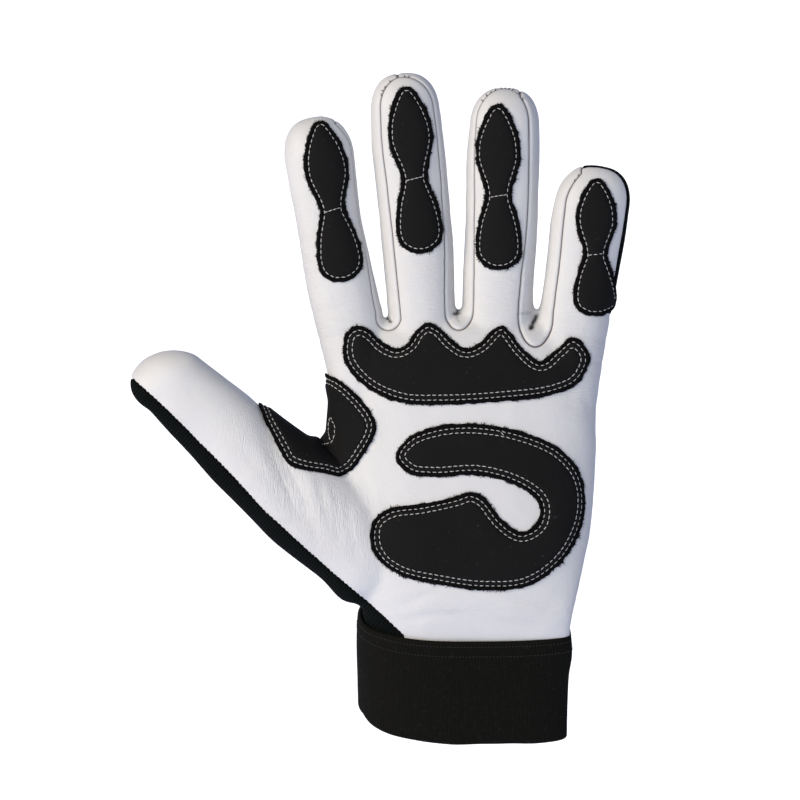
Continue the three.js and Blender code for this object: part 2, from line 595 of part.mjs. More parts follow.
function palmPadOutline(pad) {
  const corner = new THREE.Vector3(pad.across * PALM_WIDTH, 0, cuffTop.z + pad.up * PALM_HEIGHT);
  const points = pad.outline.map((share) => corner.clone()
    .add(new THREE.Vector3(share.x * pad.width, 0, share.z * pad.height)));
  return smooth(points, PALM_OUTLINE_STEPS);
}

// The elastic cuff round the hem of the glove
function cuffBand() {
  const tube = (grow, past) => {
    const rings = CUFF_SECTIONS.map((row, i) => {
      const size = {
        left: (row.left * WRIST_WIDTH) / 2 + grow, right: (row.right * WRIST_WIDTH) / 2 + grow,
        front: (row.front * WRIST_DEPTH) / 2 + grow, back: (row.back * WRIST_DEPTH) / 2 + grow,
        level: (row.level * WRIST_DEPTH) / 2,
      };
      const extra = i === 0 ? -past : past * Number(i === CUFF_SECTIONS.length - 1);
      const centre = wristAxis.clone().multiplyScalar(row.along * CUFF_HEIGHT + extra);
      return ring(centre, across, backAt(1), size, PALM_POINTS, PALM_ROUNDNESS);
    });
    const ends = [-past, CUFF_HEIGHT + past].map((length) => wristAxis.clone().multiplyScalar(length));
    return loft(rings, ...ends);
  };
  return tube(SEAM_GAP + CUFF_THICKNESS, 0).subtract(tube(SEAM_GAP, 1));
}

const LEATHER = { color: 0xdedad8, roughness: 0.55, metalness: 0 };
const KNIT = { color: 0x1c1a1d, roughness: 0.95, metalness: 0 };
const ELASTIC = { color: 0x171812, roughness: 0.85, metalness: 0 };
const PAD = { color: 0x222221, roughness: 0.9, metalness: 0 };

const glove = new THREE.Group();

// Adds a piece: the largest body of a solid, without the crumbs that a cut leaves at a seam's end
function piece(name, body, look) {
  const [whole] = body.decompose().sort((a, b) => b.volume() - a.volume());
  const mesh = whole.getMesh();
  const geometry = new THREE.BufferGeometry();
  geometry.setAttribute('position', new THREE.BufferAttribute(new Float32Array(mesh.vertProperties), 3));
  geometry.setIndex(new THREE.BufferAttribute(new Uint32Array(mesh.triVerts), 1));
  const item = new THREE.Mesh(geometry, new THREE.MeshStandardMaterial(look));
  item.name = name;
  glove.add(item);
}

// Leather and knit: one hollow shell, cut along its seams
const shell = gloveForm(0, CUFF_OVERLAP).subtract(gloveForm(-WALL, 2 * CUFF_OVERLAP));
const knitSide = behind(0).add(thumbEdge(0));
const front = shell.subtract(behind(-SEAM_GAP).add(thumbEdge(SEAM_GAP)));
const leather = FOURCHETTES.reduce((rest, strip) => rest.subtract(fourchetteSpace(strip, SEAM_GAP)), front);
piece('palm_leather', leather, LEATHER);
for (const strip of FOURCHETTES) {
  piece(strip.name, front.intersect(fourchetteSpace(strip, 0)), LEATHER);
}
piece('back_knit', shell.intersect(knitSide), KNIT);
piece('cuff_band', cuffBand(), ELASTIC);

// Pads: a layer over the leather, within each outline
const layer = gloveForm(SEAM_GAP + PAD_THICKNESS, 0).subtract(gloveForm(SEAM_GAP, CUFF_OVERLAP));
const frontLayer = layer.subtract(behind(0));
for (const pad of FINGER_PADS) {
  piece(`patch_${pad.digit}`, frontLayer.intersect(prism(fingerPadOutline(pad))), PAD);
}
for (const pad of PALM_PADS) {
  const wrapped = pad.name === 'patch_web' ? layer.subtract(behind(WEB_PAD_WRAP)) : frontLayer;
  piece(pad.name, wrapped.intersect(prism(palmPadOutline(pad))), PAD);
}

export default glove;
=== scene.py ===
# %% [markdown]
# # A gardening glove
#
# This lesson dresses a left-hand gardening glove. Its palm, the fronts of its fingers and its thumb are
# soft white leather, narrow leather strips run between the fingers, the back is a black knit, and seven
# black pads with off-white stitching take the wear. A woven elastic cuff closes the wrist. The packed
# model is the frame: it gives every piece its place, and this script gives every piece its surface.
#
# Shapes are worked out in millimetres and turned into metres only where a mesh is made.

# %% Load the frame
import itertools
import math

import bpy
import numpy as np
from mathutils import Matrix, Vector
from mathutils.bvhtree import BVHTree


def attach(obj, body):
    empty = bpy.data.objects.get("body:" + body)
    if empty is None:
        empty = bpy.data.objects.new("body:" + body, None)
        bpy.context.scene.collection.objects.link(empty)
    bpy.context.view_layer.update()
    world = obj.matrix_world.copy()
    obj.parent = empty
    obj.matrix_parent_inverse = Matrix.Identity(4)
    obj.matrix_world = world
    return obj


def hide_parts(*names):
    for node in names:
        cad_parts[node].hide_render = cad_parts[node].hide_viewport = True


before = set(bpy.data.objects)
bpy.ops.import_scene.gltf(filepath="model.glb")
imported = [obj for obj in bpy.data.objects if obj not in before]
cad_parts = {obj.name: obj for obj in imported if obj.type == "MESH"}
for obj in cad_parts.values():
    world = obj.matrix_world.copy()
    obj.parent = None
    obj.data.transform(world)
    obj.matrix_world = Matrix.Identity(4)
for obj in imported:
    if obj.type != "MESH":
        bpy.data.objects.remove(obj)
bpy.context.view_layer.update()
MM = 0.001

# %% [markdown]
# ## The camera
#
# The glove is seen square from its palm side, from far away, so that near and far fingers keep their true
# sizes against each other. A long lens at 2.5 m does that. The aim is the middle of the photograph's frame.

# %% Camera
VIEW_DISTANCE = 2.5
FRAME_WIDTH = 0.272
SENSOR = 36
AIM = Vector((-0.0218, -0.028, 0.1046))

camera_data = bpy.data.cameras.new("camera")
camera_data.sensor_width = SENSOR
camera_data.lens = SENSOR * VIEW_DISTANCE / FRAME_WIDTH
camera_data.clip_end = 20
camera = bpy.data.objects.new("camera", camera_data)
camera.location = AIM - Vector((0, VIEW_DISTANCE, 0))
camera.rotation_euler = (math.pi / 2, 0, 0)
bpy.context.scene.collection.objects.link(camera)
bpy.context.scene.camera = camera
print("lens", round(camera_data.lens), "mm")

# %% [markdown]
# ## Sizes
#
# The hand shape follows the same driving sizes as the frame: a wrist that leans back from the palm, a palm
# with an arch of knuckles, and five digits. Tables of sections say how each part swells and narrows, as
# shares of these sizes, so a reader can see which number shapes which place.

# %% Driving sizes
LEATHER_WALL = 1.4
CUFF_HEIGHT = 39.0
CUFF_OVERLAP = 6.0
CUFF_GAP = 0.3
CUFF_THICKNESS = 1.8
WRIST_LEAN = math.radians(28)
WRIST_WIDTH = 69.0
WRIST_DEPTH = 43.0
PALM_HEIGHT = 100.5
PALM_WIDTH = 99.0
PALM_DEPTH = 30.0
KNUCKLE_ARCH = 10.0
FRONT_REACH = 0.4
EDGE_AT_CUFF = 0.3
DIGIT_ROUNDNESS = 0.87
FINGER_TIP = (0.75, 0.0)
LITTLE_TIP = (0.74, 0.07)
THUMB_TIP = (1.0, -0.25)
PALM_ROUNDNESS = 0.8

wrist_axis = np.array((0, -math.sin(WRIST_LEAN), math.cos(WRIST_LEAN)))
cuff_top = wrist_axis * CUFF_HEIGHT
ACROSS = np.array((1.0, 0, 0))


# %% Tables with named columns
def table(columns, *rows):
    """A table of sections: one array for each column."""
    return {name: np.array([row[i] for row in rows], float) for i, name in enumerate(columns.split())}


def at(rows, key, where):
    """Every column of a table at some places, on a smooth curve through its rows."""
    keys = rows[key]
    where = np.clip(np.asarray(where, float), keys[0], keys[-1])
    low = np.clip(np.searchsorted(keys, where, side="right") - 1, 0, len(keys) - 2)
    span = keys[low + 1] - keys[low]
    share = (where - keys[low]) / span
    result = {}
    for name, column in rows.items():
        slope = np.empty_like(column)
        slope[1:-1] = (column[2:] - column[:-2]) / (keys[2:] - keys[:-2])
        slope[0] = (column[1] - column[0]) / (keys[1] - keys[0])
        slope[-1] = (column[-1] - column[-2]) / (keys[-1] - keys[-2])
        square, cube = share**2, share**3
        result[name] = (
            column[low] * (2 * cube - 3 * square + 1)
            + slope[low] * span * (cube - 2 * square + share)
            + column[low + 1] * (3 * square - 2 * cube)
            + slope[low + 1] * span * (cube - square)
        )
    return result


# %% [markdown]
# The palm's table starts at the cuff's top and ends at the arch between the fingers. `knuckle` says how far
# the section has gone from the wrist's size to the palm's, the next four columns are shares of the half
# width and half depth, and `level` is how far in front of the middle the right side sticks out most.
# The second table says how the sections lie.

# %% Palm sections
PALM = table(
    "up knuckle left right front back level",
    (0, 0, 1, 1.035, 1, 1, 0.8),
    (0.048, 0.12, 1.02, 1.01, 1.06, 1, 0.75),
    (0.115, 0.4, 1, 0.962, 1.14, 1, 0.55),
    (0.24, 0.8, 0.99, 0.91, 1.2, 1.02, 0.3),
    (0.403, 1, 0.97, 0.89, 1.1, 1, 0.15),
    (0.576, 1, 0.918, 0.91, 1, 0.98, 0.1),
    (0.73, 1, 0.897, 0.915, 0.95, 0.95, 0),
    (0.845, 1, 0.88, 0.95, 0.88, 0.9, 0),
    (0.92, 1, 0.95, 0.94, 0.76, 0.78, 0),
    (0.97, 1, 0.9, 0.9, 0.55, 0.58, 0),
    (1, 1, 0.82, 0.82, 0.28, 0.3, 0),
)
PALM_LINE = table(
    "up lean forward arch",
    (0, 1, 0, 0),
    (0.048, 0.9, 0.06, 0),
    (0.115, 0.72, 0.14, 0),
    (0.24, 0.42, 0.24, 0),
    (0.403, 0.18, 0.3, 0),
    (0.576, 0.05, 0.325, 0),
    (0.73, 0, 0.33, 0.15),
    (0.845, 0, 0.33, 0.5),
    (0.92, 0, 0.33, 0.9),
    (0.97, 0, 0.33, 1),
    (1, 0, 0.33, 1),
)
CUFF = table(
    "along left right front back level",
    (0, 0.99, 0.965, 0.98, 0.98, 0.8),
    (0.3, 0.995, 0.965, 0.99, 0.99, 0.8),
    (0.62, 1, 0.975, 1, 1, 0.8),
    (0.8, 1, 1, 1, 1, 0.8),
    (1, 1, 1, 1, 1, 0.8),
)

# %% [markdown]
# Each digit is a row of sections along a straight line. `left` and `right` are shares of half its width,
# `depth` of half its depth, `forward` is how far it bends towards the palm, and the two seam columns say
# where the palm's leather ends on each side. `tip` says how full the round end is and how far its top
# leans to one side: a thumb's tip slants, a finger's doesn't. `cap` says where the strips of both sides
# meet over the tip, and how high up the end they run.

# %% Digits
DIGIT_COLUMNS = "along left right depth forward seam_left seam_right"
DIGITS = {
    "index": {
        "length": 95.4, "width": 23.5, "depth": 19.0, "across": -0.348, "up": 0.72, "tilt": -9.4,
        "tip": FINGER_TIP, "cap": (0.5, 0.92),
        "sections": table(
            DIGIT_COLUMNS,
            (0, 0.88, 1, 1.12, 0, 2, 0.8),
            (0.1, 0.93, 0.98, 1.11, 0.01, 2, 0.8),
            (0.21, 0.99, 0.96, 1.1, 0.03, 2, 0.8),
            (0.34, 1.07, 0.91, 1.06, 0.06, 2, 0.76),
            (0.48, 1.1, 0.84, 1.02, 0.1, 2, 0.77),
            (0.61, 1.09, 0.8, 1, 0.14, 2, 0.75),
            (0.74, 1.13, 0.84, 0.98, 0.2, 2, 0.79),
            (0.86, 1.14, 0.88, 0.94, 0.28, 2, 0.83),
        ),
    },
    "middle": {
        "length": 109.2, "width": 24.8, "depth": 20.0, "across": -0.115, "up": 0.72, "tilt": -5.3,
        "tip": FINGER_TIP, "cap": (-0.1, 0.88),
        "sections": table(
            DIGIT_COLUMNS,
            (0, 0.97, 0.87, 1.1, 0, 0.62, 0.62),
            (0.25, 0.95, 0.9, 1.06, 0.03, 0.64, 0.62),
            (0.45, 0.96, 1, 1.02, 0.08, 0.655, 0.77),
            (0.65, 0.975, 1.02, 0.99, 0.15, 0.69, 0.84),
            (0.8, 0.97, 1.01, 0.96, 0.22, 0.72, 0.85),
            (0.885, 0.94, 0.975, 0.92, 0.28, 0.68, 0.82),
        ),
    },
    "ring": {
        "length": 104.0, "width": 24.8, "depth": 19.5, "across": 0.096, "up": 0.72, "tilt": 2.4,
        "tip": FINGER_TIP, "cap": (0.42, 0.97),
        "sections": table(
            DIGIT_COLUMNS,
            (0, 0.86, 0.98, 1.1, 0, 0.63, 0.64),
            (0.25, 0.92, 1.02, 1.06, 0.03, 0.64, 0.63),
            (0.38, 0.95, 1.02, 1.03, 0.06, 0.67, 0.67),
            (0.51, 0.94, 1.06, 1.01, 0.1, 0.71, 0.76),
            (0.65, 0.965, 1.04, 0.99, 0.15, 0.75, 0.775),
            (0.78, 0.97, 1.02, 0.96, 0.21, 0.785, 0.75),
            (0.88, 0.93, 0.985, 0.92, 0.27, 0.78, 0.7),
        ),
    },
    "little": {
        "length": 85.7, "width": 25.6, "depth": 18.5, "across": 0.326, "up": 0.648, "tilt": 8.7,
        "tip": LITTLE_TIP, "cap": (-0.45, 0.95),
        "sections": table(
            DIGIT_COLUMNS,
            (0, 0.93, 0.95, 1.12, 0, 0.63, 2),
            (0.3, 0.98, 0.955, 1.08, 0.03, 0.62, 2),
            (0.39, 0.96, 0.96, 1.06, 0.05, 0.6, 2),
            (0.45, 0.94, 0.97, 1.04, 0.07, 0.61, 2),
            (0.6, 0.96, 1, 1, 0.12, 0.635, 2),
            (0.73, 1.01, 1.025, 0.97, 0.18, 0.68, 2),
            (0.84, 0.99, 1.01, 0.92, 0.24, 0.71, 2),
        ),
    },
    "thumb": {
        "length": 112.0, "width": 28.2, "depth": 24.0, "across": -0.247, "up": 0.1065, "tilt": -49.0,
        "tip": THUMB_TIP,
        "sections": table(
            DIGIT_COLUMNS,
            (0, 0.95, 1.1, 1.2, 0.12, 0.9, 2),
            (0.06, 1.25, 1.2, 1.36, 0.15, 0.9, 2),
            (0.15, 1.195, 1.25, 1.42, 0.2, 0.905, 2),
            (0.25, 1.24, 1.25, 1.38, 0.26, 0.9, 2),
            (0.345, 1.27, 1.2, 1.3, 0.32, 0.875, 2),
            (0.43, 1.21, 1.12, 1.22, 0.36, 0.85, 2),
            (0.51, 1.16, 1.05, 1.15, 0.4, 0.77, 2),
            (0.6, 1.11, 1.01, 1.08, 0.44, 0.7, 2),
            (0.7, 1, 0.98, 1.01, 0.48, 0.645, 2),
            (0.8, 0.92, 0.94, 0.94, 0.52, 0.575, 2),
            (0.885, 0.83, 0.91, 0.88, 0.55, 0.54, 2),
        ),
    },
}

# %% [markdown]
# ## The hand shape
#
# One closed section is a circle bent a little towards a rectangle, as a hand's sections are. Rings of such
# sections, a couple of millimetres apart, make the palm and each digit. A subdivision surface over a coarse
# cage would be an alternative, but lofted rings keep every width where the tables put it.

# %% Sections and lofts
def ring(centre, side, back, size, count, roundness):
    """The points of one closed section."""
    angle = np.arange(count) * 2 * math.pi / count
    c, s = np.cos(angle), np.sin(angle)
    level = np.where(c > 0, size["level"], 0.0)
    reach = np.where(s > 0, size["back"] + level, size["front"] - level)
    wide = np.sign(c) * np.abs(c) ** roundness * np.where(c > 0, size["right"], size["left"])
    deep = np.sign(s) * np.abs(s) ** roundness * reach - level
    return centre + wide[:, None] * side + deep[:, None] * back


def loft(rings, bottom, top):
    """Points and triangles of a closed body through rings that run upwards."""
    count = len(rings[0])
    points = np.vstack([bottom[None], *rings, top[None]])
    here = 1 + np.arange(len(rings) - 1)[:, None] * count + np.arange(count)
    right = 1 + np.arange(len(rings) - 1)[:, None] * count + (np.arange(count) + 1) % count
    lower = np.stack([here, right, right + count], -1).reshape(-1, 3)
    upper = np.stack([here, right + count, here + count], -1).reshape(-1, 3)
    first, last = here[0], here[-1] + count
    zero, end = np.zeros(count, int), np.full(count, len(points) - 1)
    floor = np.stack([zero, np.roll(first, -1), first], -1)
    roof = np.stack([end, last, np.roll(last, -1)], -1)
    return points, np.vstack([floor, lower, upper, roof])


def palm_centre(up):
    """The middle of the palm's section at a share of its height."""
    forward = at(PALM_LINE, "up", up)["forward"]
    return np.array((0, cuff_top[1] - forward * PALM_DEPTH, cuff_top[2] + up * PALM_HEIGHT))


def arch_at(x):
    """How far the knuckles' arch lies under its highest point."""
    return KNUCKLE_ARCH * (x / (PALM_WIDTH / 2)) ** 2


def back_at(lean):
    """The direction to the back of a section that leans by a share of the wrist's lean."""
    return np.array((0, math.cos(lean * WRIST_LEAN), math.sin(lean * WRIST_LEAN)))


def palm_size(row):
    """The reaches of a palm section in millimetres, from its shares."""
    width = (WRIST_WIDTH + (PALM_WIDTH - WRIST_WIDTH) * row["knuckle"]) / 2
    depth = (WRIST_DEPTH + (PALM_DEPTH - WRIST_DEPTH) * row["knuckle"]) / 2
    return {
        "left": row["left"] * width, "right": row["right"] * width,
        "front": row["front"] * depth, "back": row["back"] * depth,
        "level": row["level"] * row["front"] * depth,
    }


# %% The palm and the digits as closed bodies
PALM_POINTS = 120
DIGIT_POINTS = 72
PALM_RINGS = 70
DIGIT_RINGS = 60
DOME_RINGS = 18
HEM_RINGS = 8
HEM_RUN = 12.0
HEM_STEP = 1.5


def palm_body():
    """The palm, with a straight run at its bottom that goes down inside the cuff."""
    hem = palm_size(at(PALM, "up", 0))
    rings = []
    for below in np.linspace(HEM_RUN, HEM_STEP, HEM_RINGS):
        centre = cuff_top - wrist_axis * below
        rings.append(ring(centre, ACROSS, back_at(1), hem, PALM_POINTS, PALM_ROUNDNESS))
    for up in np.linspace(0, 1, PALM_RINGS):
        line = at(PALM_LINE, "up", up)
        size = palm_size(at(PALM, "up", up))
        points = ring(palm_centre(up), ACROSS, back_at(line["lean"]), size, PALM_POINTS, PALM_ROUNDNESS)
        points[:, 2] -= line["arch"] * arch_at(points[:, 0])
        rings.append(points)
    return loft(rings, cuff_top - wrist_axis * HEM_RUN, palm_centre(1))


def digit_axis(digit):
    """A digit's root, the direction along it and the direction to its right."""
    tilt = math.radians(digit["tilt"])
    root = palm_centre(digit["up"])
    root[0] = digit["across"] * PALM_WIDTH
    axis = np.array((math.sin(tilt), 0, math.cos(tilt)))
    side = np.array((math.cos(tilt), 0, -math.sin(tilt)))
    return root, axis, side


def digit_point(digit, along, share):
    """A point of a digit: a share of its length, and a share of half its width to the right of its axis."""
    root, axis, side = digit_axis(digit)
    forward = at(digit["sections"], "along", along)["forward"]
    point = root + axis * along * digit["length"] + side * share * digit["width"] / 2
    point[1] -= forward * digit["depth"]
    return point


def digit_body(digit):
    """A digit with its round end."""
    root, axis, side = digit_axis(digit)
    back = np.array((0, 1.0, 0))
    end = digit["sections"]["along"][-1]

    def section(along, lift, scale, skew=0.0):
        row = at(digit["sections"], "along", along)
        half = scale * (row["right"] + row["left"]) / 4 * digit["width"]
        deep = scale * row["depth"] * digit["depth"] / 2
        centre = digit_point(digit, along, (row["right"] - row["left"]) / 2 + skew) + axis * lift
        size = {"left": half, "right": half, "front": deep, "back": deep, "level": 0.0}
        return centre, ring(centre, side, back, size, DIGIT_POINTS, DIGIT_ROUNDNESS)

    rings = [section(along, 0, 1)[1] for along in np.linspace(0, end, DIGIT_RINGS)]
    dome = (1 - end) * digit["length"]
    roundness, lean = digit["tip"]
    for step in range(1, DOME_RINGS):
        angle = math.pi / 2 * step / DOME_RINGS
        up, scale = math.sin(angle), math.cos(angle) ** roundness
        rings.append(section(end, dome * up, scale, lean * up)[1])
    return loft(rings, section(0, 0, 1)[0], section(end, dome, 0, lean)[0])


bodies = [palm_body()] + [digit_body(digit) for digit in DIGITS.values()]
print("lofts:", [len(points) for points, _ in bodies], "points")

# %% [markdown]
# The bodies overlap at the knuckles. A voxel remesh joins them into one even skin, which also rounds the
# valleys between the fingers a little, as sewn leather does. A boolean union would keep the edges sharp and
# the mesh uneven, so the remesh is the better start for folds and seams. The bottom is cut off afterwards,
# because the hem is open inside the cuff.

# %% Meshes from arrays
def new_object(name, points, triangles, material=None):
    """An object from points in millimetres and triangles, all shaded smooth."""
    mesh = bpy.data.meshes.new(name)
    mesh.vertices.add(len(points))
    mesh.vertices.foreach_set("co", (np.asarray(points) * MM).astype(np.float32).ravel())
    mesh.loops.add(triangles.size)
    mesh.loops.foreach_set("vertex_index", triangles.astype(np.int32).ravel())
    mesh.polygons.add(len(triangles))
    mesh.polygons.foreach_set("loop_start", np.arange(0, triangles.size, 3, dtype=np.int32))
    mesh.polygons.foreach_set("use_smooth", np.ones(len(triangles), bool))
    mesh.update(calc_edges=True)
    mesh.validate()
    if material:
        mesh.materials.append(material)
    thing = bpy.data.objects.new(name, mesh)
    bpy.context.scene.collection.objects.link(thing)
    return thing


def combine(parts):
    """Several (points, triangles) pairs as one."""
    points, triangles, start = [], [], 0
    for some_points, some_triangles in parts:
        points.append(some_points)
        triangles.append(some_triangles + start)
        start += len(some_points)
    return np.vstack(points), np.vstack(triangles)


# %% One even skin
VOXEL = 0.99
RELAX_ROUNDS = 4


def remesh(points, triangles, voxel):
    """The same body as an even mesh, in millimetres."""
    thing = new_object("raw", points, triangles)
    modifier = thing.modifiers.new("even", "REMESH")
    modifier.mode = "VOXEL"
    modifier.voxel_size = voxel * MM
    depsgraph = bpy.context.evaluated_depsgraph_get()
    mesh = bpy.data.meshes.new_from_object(thing.evaluated_get(depsgraph))
    co = np.empty(len(mesh.vertices) * 3)
    mesh.vertices.foreach_get("co", co)
    mesh.calc_loop_triangles()
    corners = np.empty(len(mesh.loop_triangles) * 3, int)
    mesh.loop_triangles.foreach_get("vertices", corners)
    bpy.data.meshes.remove(mesh)
    bpy.data.meshes.remove(thing.data)
    return co.reshape(-1, 3) / MM, corners.reshape(-1, 3)


def neighbours(triangles):
    """Every edge of a closed mesh once each way: from, to."""
    return np.vstack([triangles[:, [0, 1]], triangles[:, [1, 2]], triangles[:, [2, 0]]])


def relax(values, triangles, rounds, weight=0.5):
    """Moves each point's values towards the mean of its neighbours."""
    edges = neighbours(triangles)
    count = len(values)
    links = np.bincount(edges[:, 0], minlength=count)[:, None]
    for _ in range(rounds):
        total = np.stack(
            [np.bincount(edges[:, 0], values[edges[:, 1], i], count) for i in range(values.shape[1])], 1
        )
        values = values + weight * (total / links - values)
    return values


def normals_of(points, triangles):
    """Unit normals at the points, each face counting by its area."""
    a, b, c = (points[triangles[:, i]] for i in range(3))
    face = np.cross(b - a, c - a)
    total = np.stack(
        [sum(np.bincount(triangles[:, k], face[:, i], len(points)) for k in range(3)) for i in range(3)], 1
    )
    return total / np.maximum(np.linalg.norm(total, axis=1, keepdims=True), 1e-12)


skin_points, skin_triangles = remesh(*combine(bodies), VOXEL)
skin_points = relax(skin_points, skin_triangles, RELAX_ROUNDS)
print("skin:", len(skin_points), "points,", len(skin_triangles), "triangles")

# %% [markdown]
# ## Where the pieces end
#
# Each seam is the zero line of a field: a number at every point of the skin that is negative on one side.
# The knit starts behind a sheet that runs through the fingers, and the strips beside the fingers and the
# knit's edge along the thumb are outlines seen from the palm. Fields make smooth borders, because a mesh
# can be cut exactly along their zero lines.

# %% The sheet between front and back
def seam_samples():
    """Places on the joint between front and back, each as x, z and y."""
    samples = []

    def row(centre, size):
        for share in (-0.6, 0, 0.6):
            samples.append((share * size["left"], centre[2], centre[1] + FRONT_REACH * size["back"]))

    for below in (0.9, 0.6, 0.3):
        row(cuff_top - wrist_axis * below * CUFF_HEIGHT, palm_size(at(PALM, "up", 0)))
    for up in np.linspace(0, 1, 9):
        row(palm_centre(up), palm_size(at(PALM, "up", up)))
    for digit in DIGITS.values():
        for along in np.linspace(0.25, 1, 7):
            point = digit_point(digit, along, 0)
            depth = at(digit["sections"], "along", along)["depth"]
            samples.append((point[0], point[2], point[1] + FRONT_REACH * depth * digit["depth"] / 2))
    return np.array(samples)


# larger values make the sheet smoother between its samples
SHEET_SOFTNESS = 16.0
sheet_samples = seam_samples()


def sheet_at(points):
    """How far back the joint between front and back lies at each point's place."""
    total = np.zeros(len(points))
    weights = np.zeros(len(points))
    for x, z, y in sheet_samples:
        weight = 1 / ((points[:, 0] - x) ** 2 + (points[:, 2] - z) ** 2 + SHEET_SOFTNESS) ** 2
        total += weight * y
        weights += weight
    return total / weights


THUMB_ROOT = np.array((-37.0, 38.0))
THUMB_ROOT_REACH = 12.0
THUMB_ROOT_SIZE = 5.0


def thumb_root_reach(points):
    """The knit reaches further forward in the hollow below the thumb's root."""
    away = ((points[:, [0, 2]] - THUMB_ROOT) ** 2).sum(1)
    return THUMB_ROOT_REACH * np.exp(-away / THUMB_ROOT_SIZE**2)


# %% Outlines seen from the palm
STEEPEST = 0.12


def outline_field(points, normals, outline):
    """Distance along the skin from an outline in the XZ plane, in millimetres: negative inside.

    The distance seen from the palm grows where the skin turns away from the view.
    """
    flat = points[:, [0, 2]]
    best = np.full(len(flat), 1e18)
    nearest = np.zeros_like(flat)
    inside = np.zeros(len(flat), bool)
    for a, b in zip(outline, np.roll(outline, -1, axis=0)):
        edge = b - a
        share = np.clip((flat - a) @ edge / max(edge @ edge, 1e-12), 0, 1)
        foot = a + share[:, None] * edge
        distance = ((flat - foot) ** 2).sum(1)
        closer = distance < best
        best = np.where(closer, distance, best)
        nearest[closer] = foot[closer]
        if a[1] != b[1]:
            crosses = (flat[:, 1] > a[1]) != (flat[:, 1] > b[1])
            x = a[0] + (flat[:, 1] - a[1]) / (b[1] - a[1]) * edge[0]
            inside ^= crosses & (flat[:, 0] < x)
    distance = np.sqrt(best)
    way = (flat - nearest) / np.maximum(distance, 1e-9)[:, None]
    slope = np.sqrt(np.maximum(1 - (normals[:, [0, 2]] * way).sum(1) ** 2, STEEPEST))
    return np.where(inside, -distance, distance) / slope


# %% The strips between the fingers
SEAM_STEPS = 18
FAR = 500.0
PAST_TIP = 1.15
# the digits on both sides, and how far below the crotch the strip goes as a share of the palm's height
STRIPS = {
    "fourchette_index_middle": ("index", "middle", 0.044),
    "fourchette_middle_ring": ("middle", "ring", 0.065),
    "fourchette_ring_little": ("ring", "little", 0.105),
}


def cap_point(digit, hand, angle):
    """A place on the seam that runs round a fingertip, from its side (0) to its top."""
    sections = digit["sections"]
    end = sections["along"][-1]
    offset = hand * sections["seam_left" if hand < 0 else "seam_right"][-1]
    rise = digit["cap"][1] * (1 - end)
    across = offset * math.cos(angle) + digit["tip"][1] * math.sin(angle)
    return digit_point(digit, end + rise * math.sin(angle), across)


def digit_seam(digit, hand, start):
    """Where the palm's leather ends on one side of a digit, from the crotch over the tip."""
    column = "seam_left" if hand < 0 else "seam_right"
    sections = digit["sections"]
    end = sections["along"][-1]
    root, axis, _ = digit_axis(digit)
    begin = (start - root[2]) / (axis[2] * digit["length"])
    points = []
    for along in np.linspace(begin, end, SEAM_STEPS, endpoint=False):
        points.append(digit_point(digit, along, hand * at(sections, "along", along)[column]))
    meet = digit["cap"][0] + hand * 0.3 / digit["width"]
    last = math.acos(meet / (hand * sections[column][-1]))
    points += [cap_point(digit, hand, angle) for angle in np.linspace(0, last, SEAM_STEPS // 2 + 4)]
    points.append(digit_point(digit, PAST_TIP, meet))
    return np.array(points)[:, [0, 2]]


def strip_outline(left, right, drop):
    """A strip's edge: down one digit, round the crotch and up the next."""
    left, right = DIGITS[left], DIGITS[right]
    between = (left["across"] + right["across"]) * PALM_WIDTH / 2
    crotch = cuff_top[2] + PALM_HEIGHT - arch_at(between)
    down = digit_seam(left, 1, crotch)[::-1]
    up = digit_seam(right, -1, crotch)
    bend = []
    for angle in np.linspace(0, math.pi, 14)[1:-1]:
        point = down[-1] + (up[0] - down[-1]) * (1 - math.cos(angle)) / 2
        bend.append((point[0], crotch - drop * PALM_HEIGHT * math.sin(angle)))
    return np.vstack([down, bend, up])


# %% The knit's edge along the thumb
def thumb_outline():
    """The area left of the knit's edge, from the cuff up to the thumb's tip."""
    thumb = DIGITS["thumb"]
    sections = thumb["sections"]
    steps = np.linspace(0, sections["along"][-1], 40)
    seam = [digit_point(thumb, along, -at(sections, "along", along)["seam_left"])[[0, 2]] for along in steps]
    tip = digit_point(thumb, PAST_TIP, -sections["seam_left"][-1])[[0, 2]]
    edge = np.array((-EDGE_AT_CUFF * WRIST_WIDTH, cuff_top[2] - WRIST_DEPTH / 2 * math.sin(WRIST_LEAN)))
    low = np.array((edge[0], -FAR))
    return np.vstack([low, edge, seam, tip, (-FAR, tip[1]), (-FAR, -FAR)])


# %% [markdown]
# The knit also comes round the little finger's tip and shows as a thin black line on its outer side. Its
# edge is a share of the finger's width, as the other seams are.

# %% The knit's edge beside the little finger
LITTLE_KNIT = table(
    "along share",
    (0.28, 1.3), (0.4, 1.02), (0.5, 0.94), (0.62, 0.93), (0.75, 0.93), (0.84, 0.925),
)
# where the knit's edge ends over the tip, as a cosine, and how high up the end it runs
LITTLE_KNIT_END = -0.38
LITTLE_KNIT_RISE = 0.95


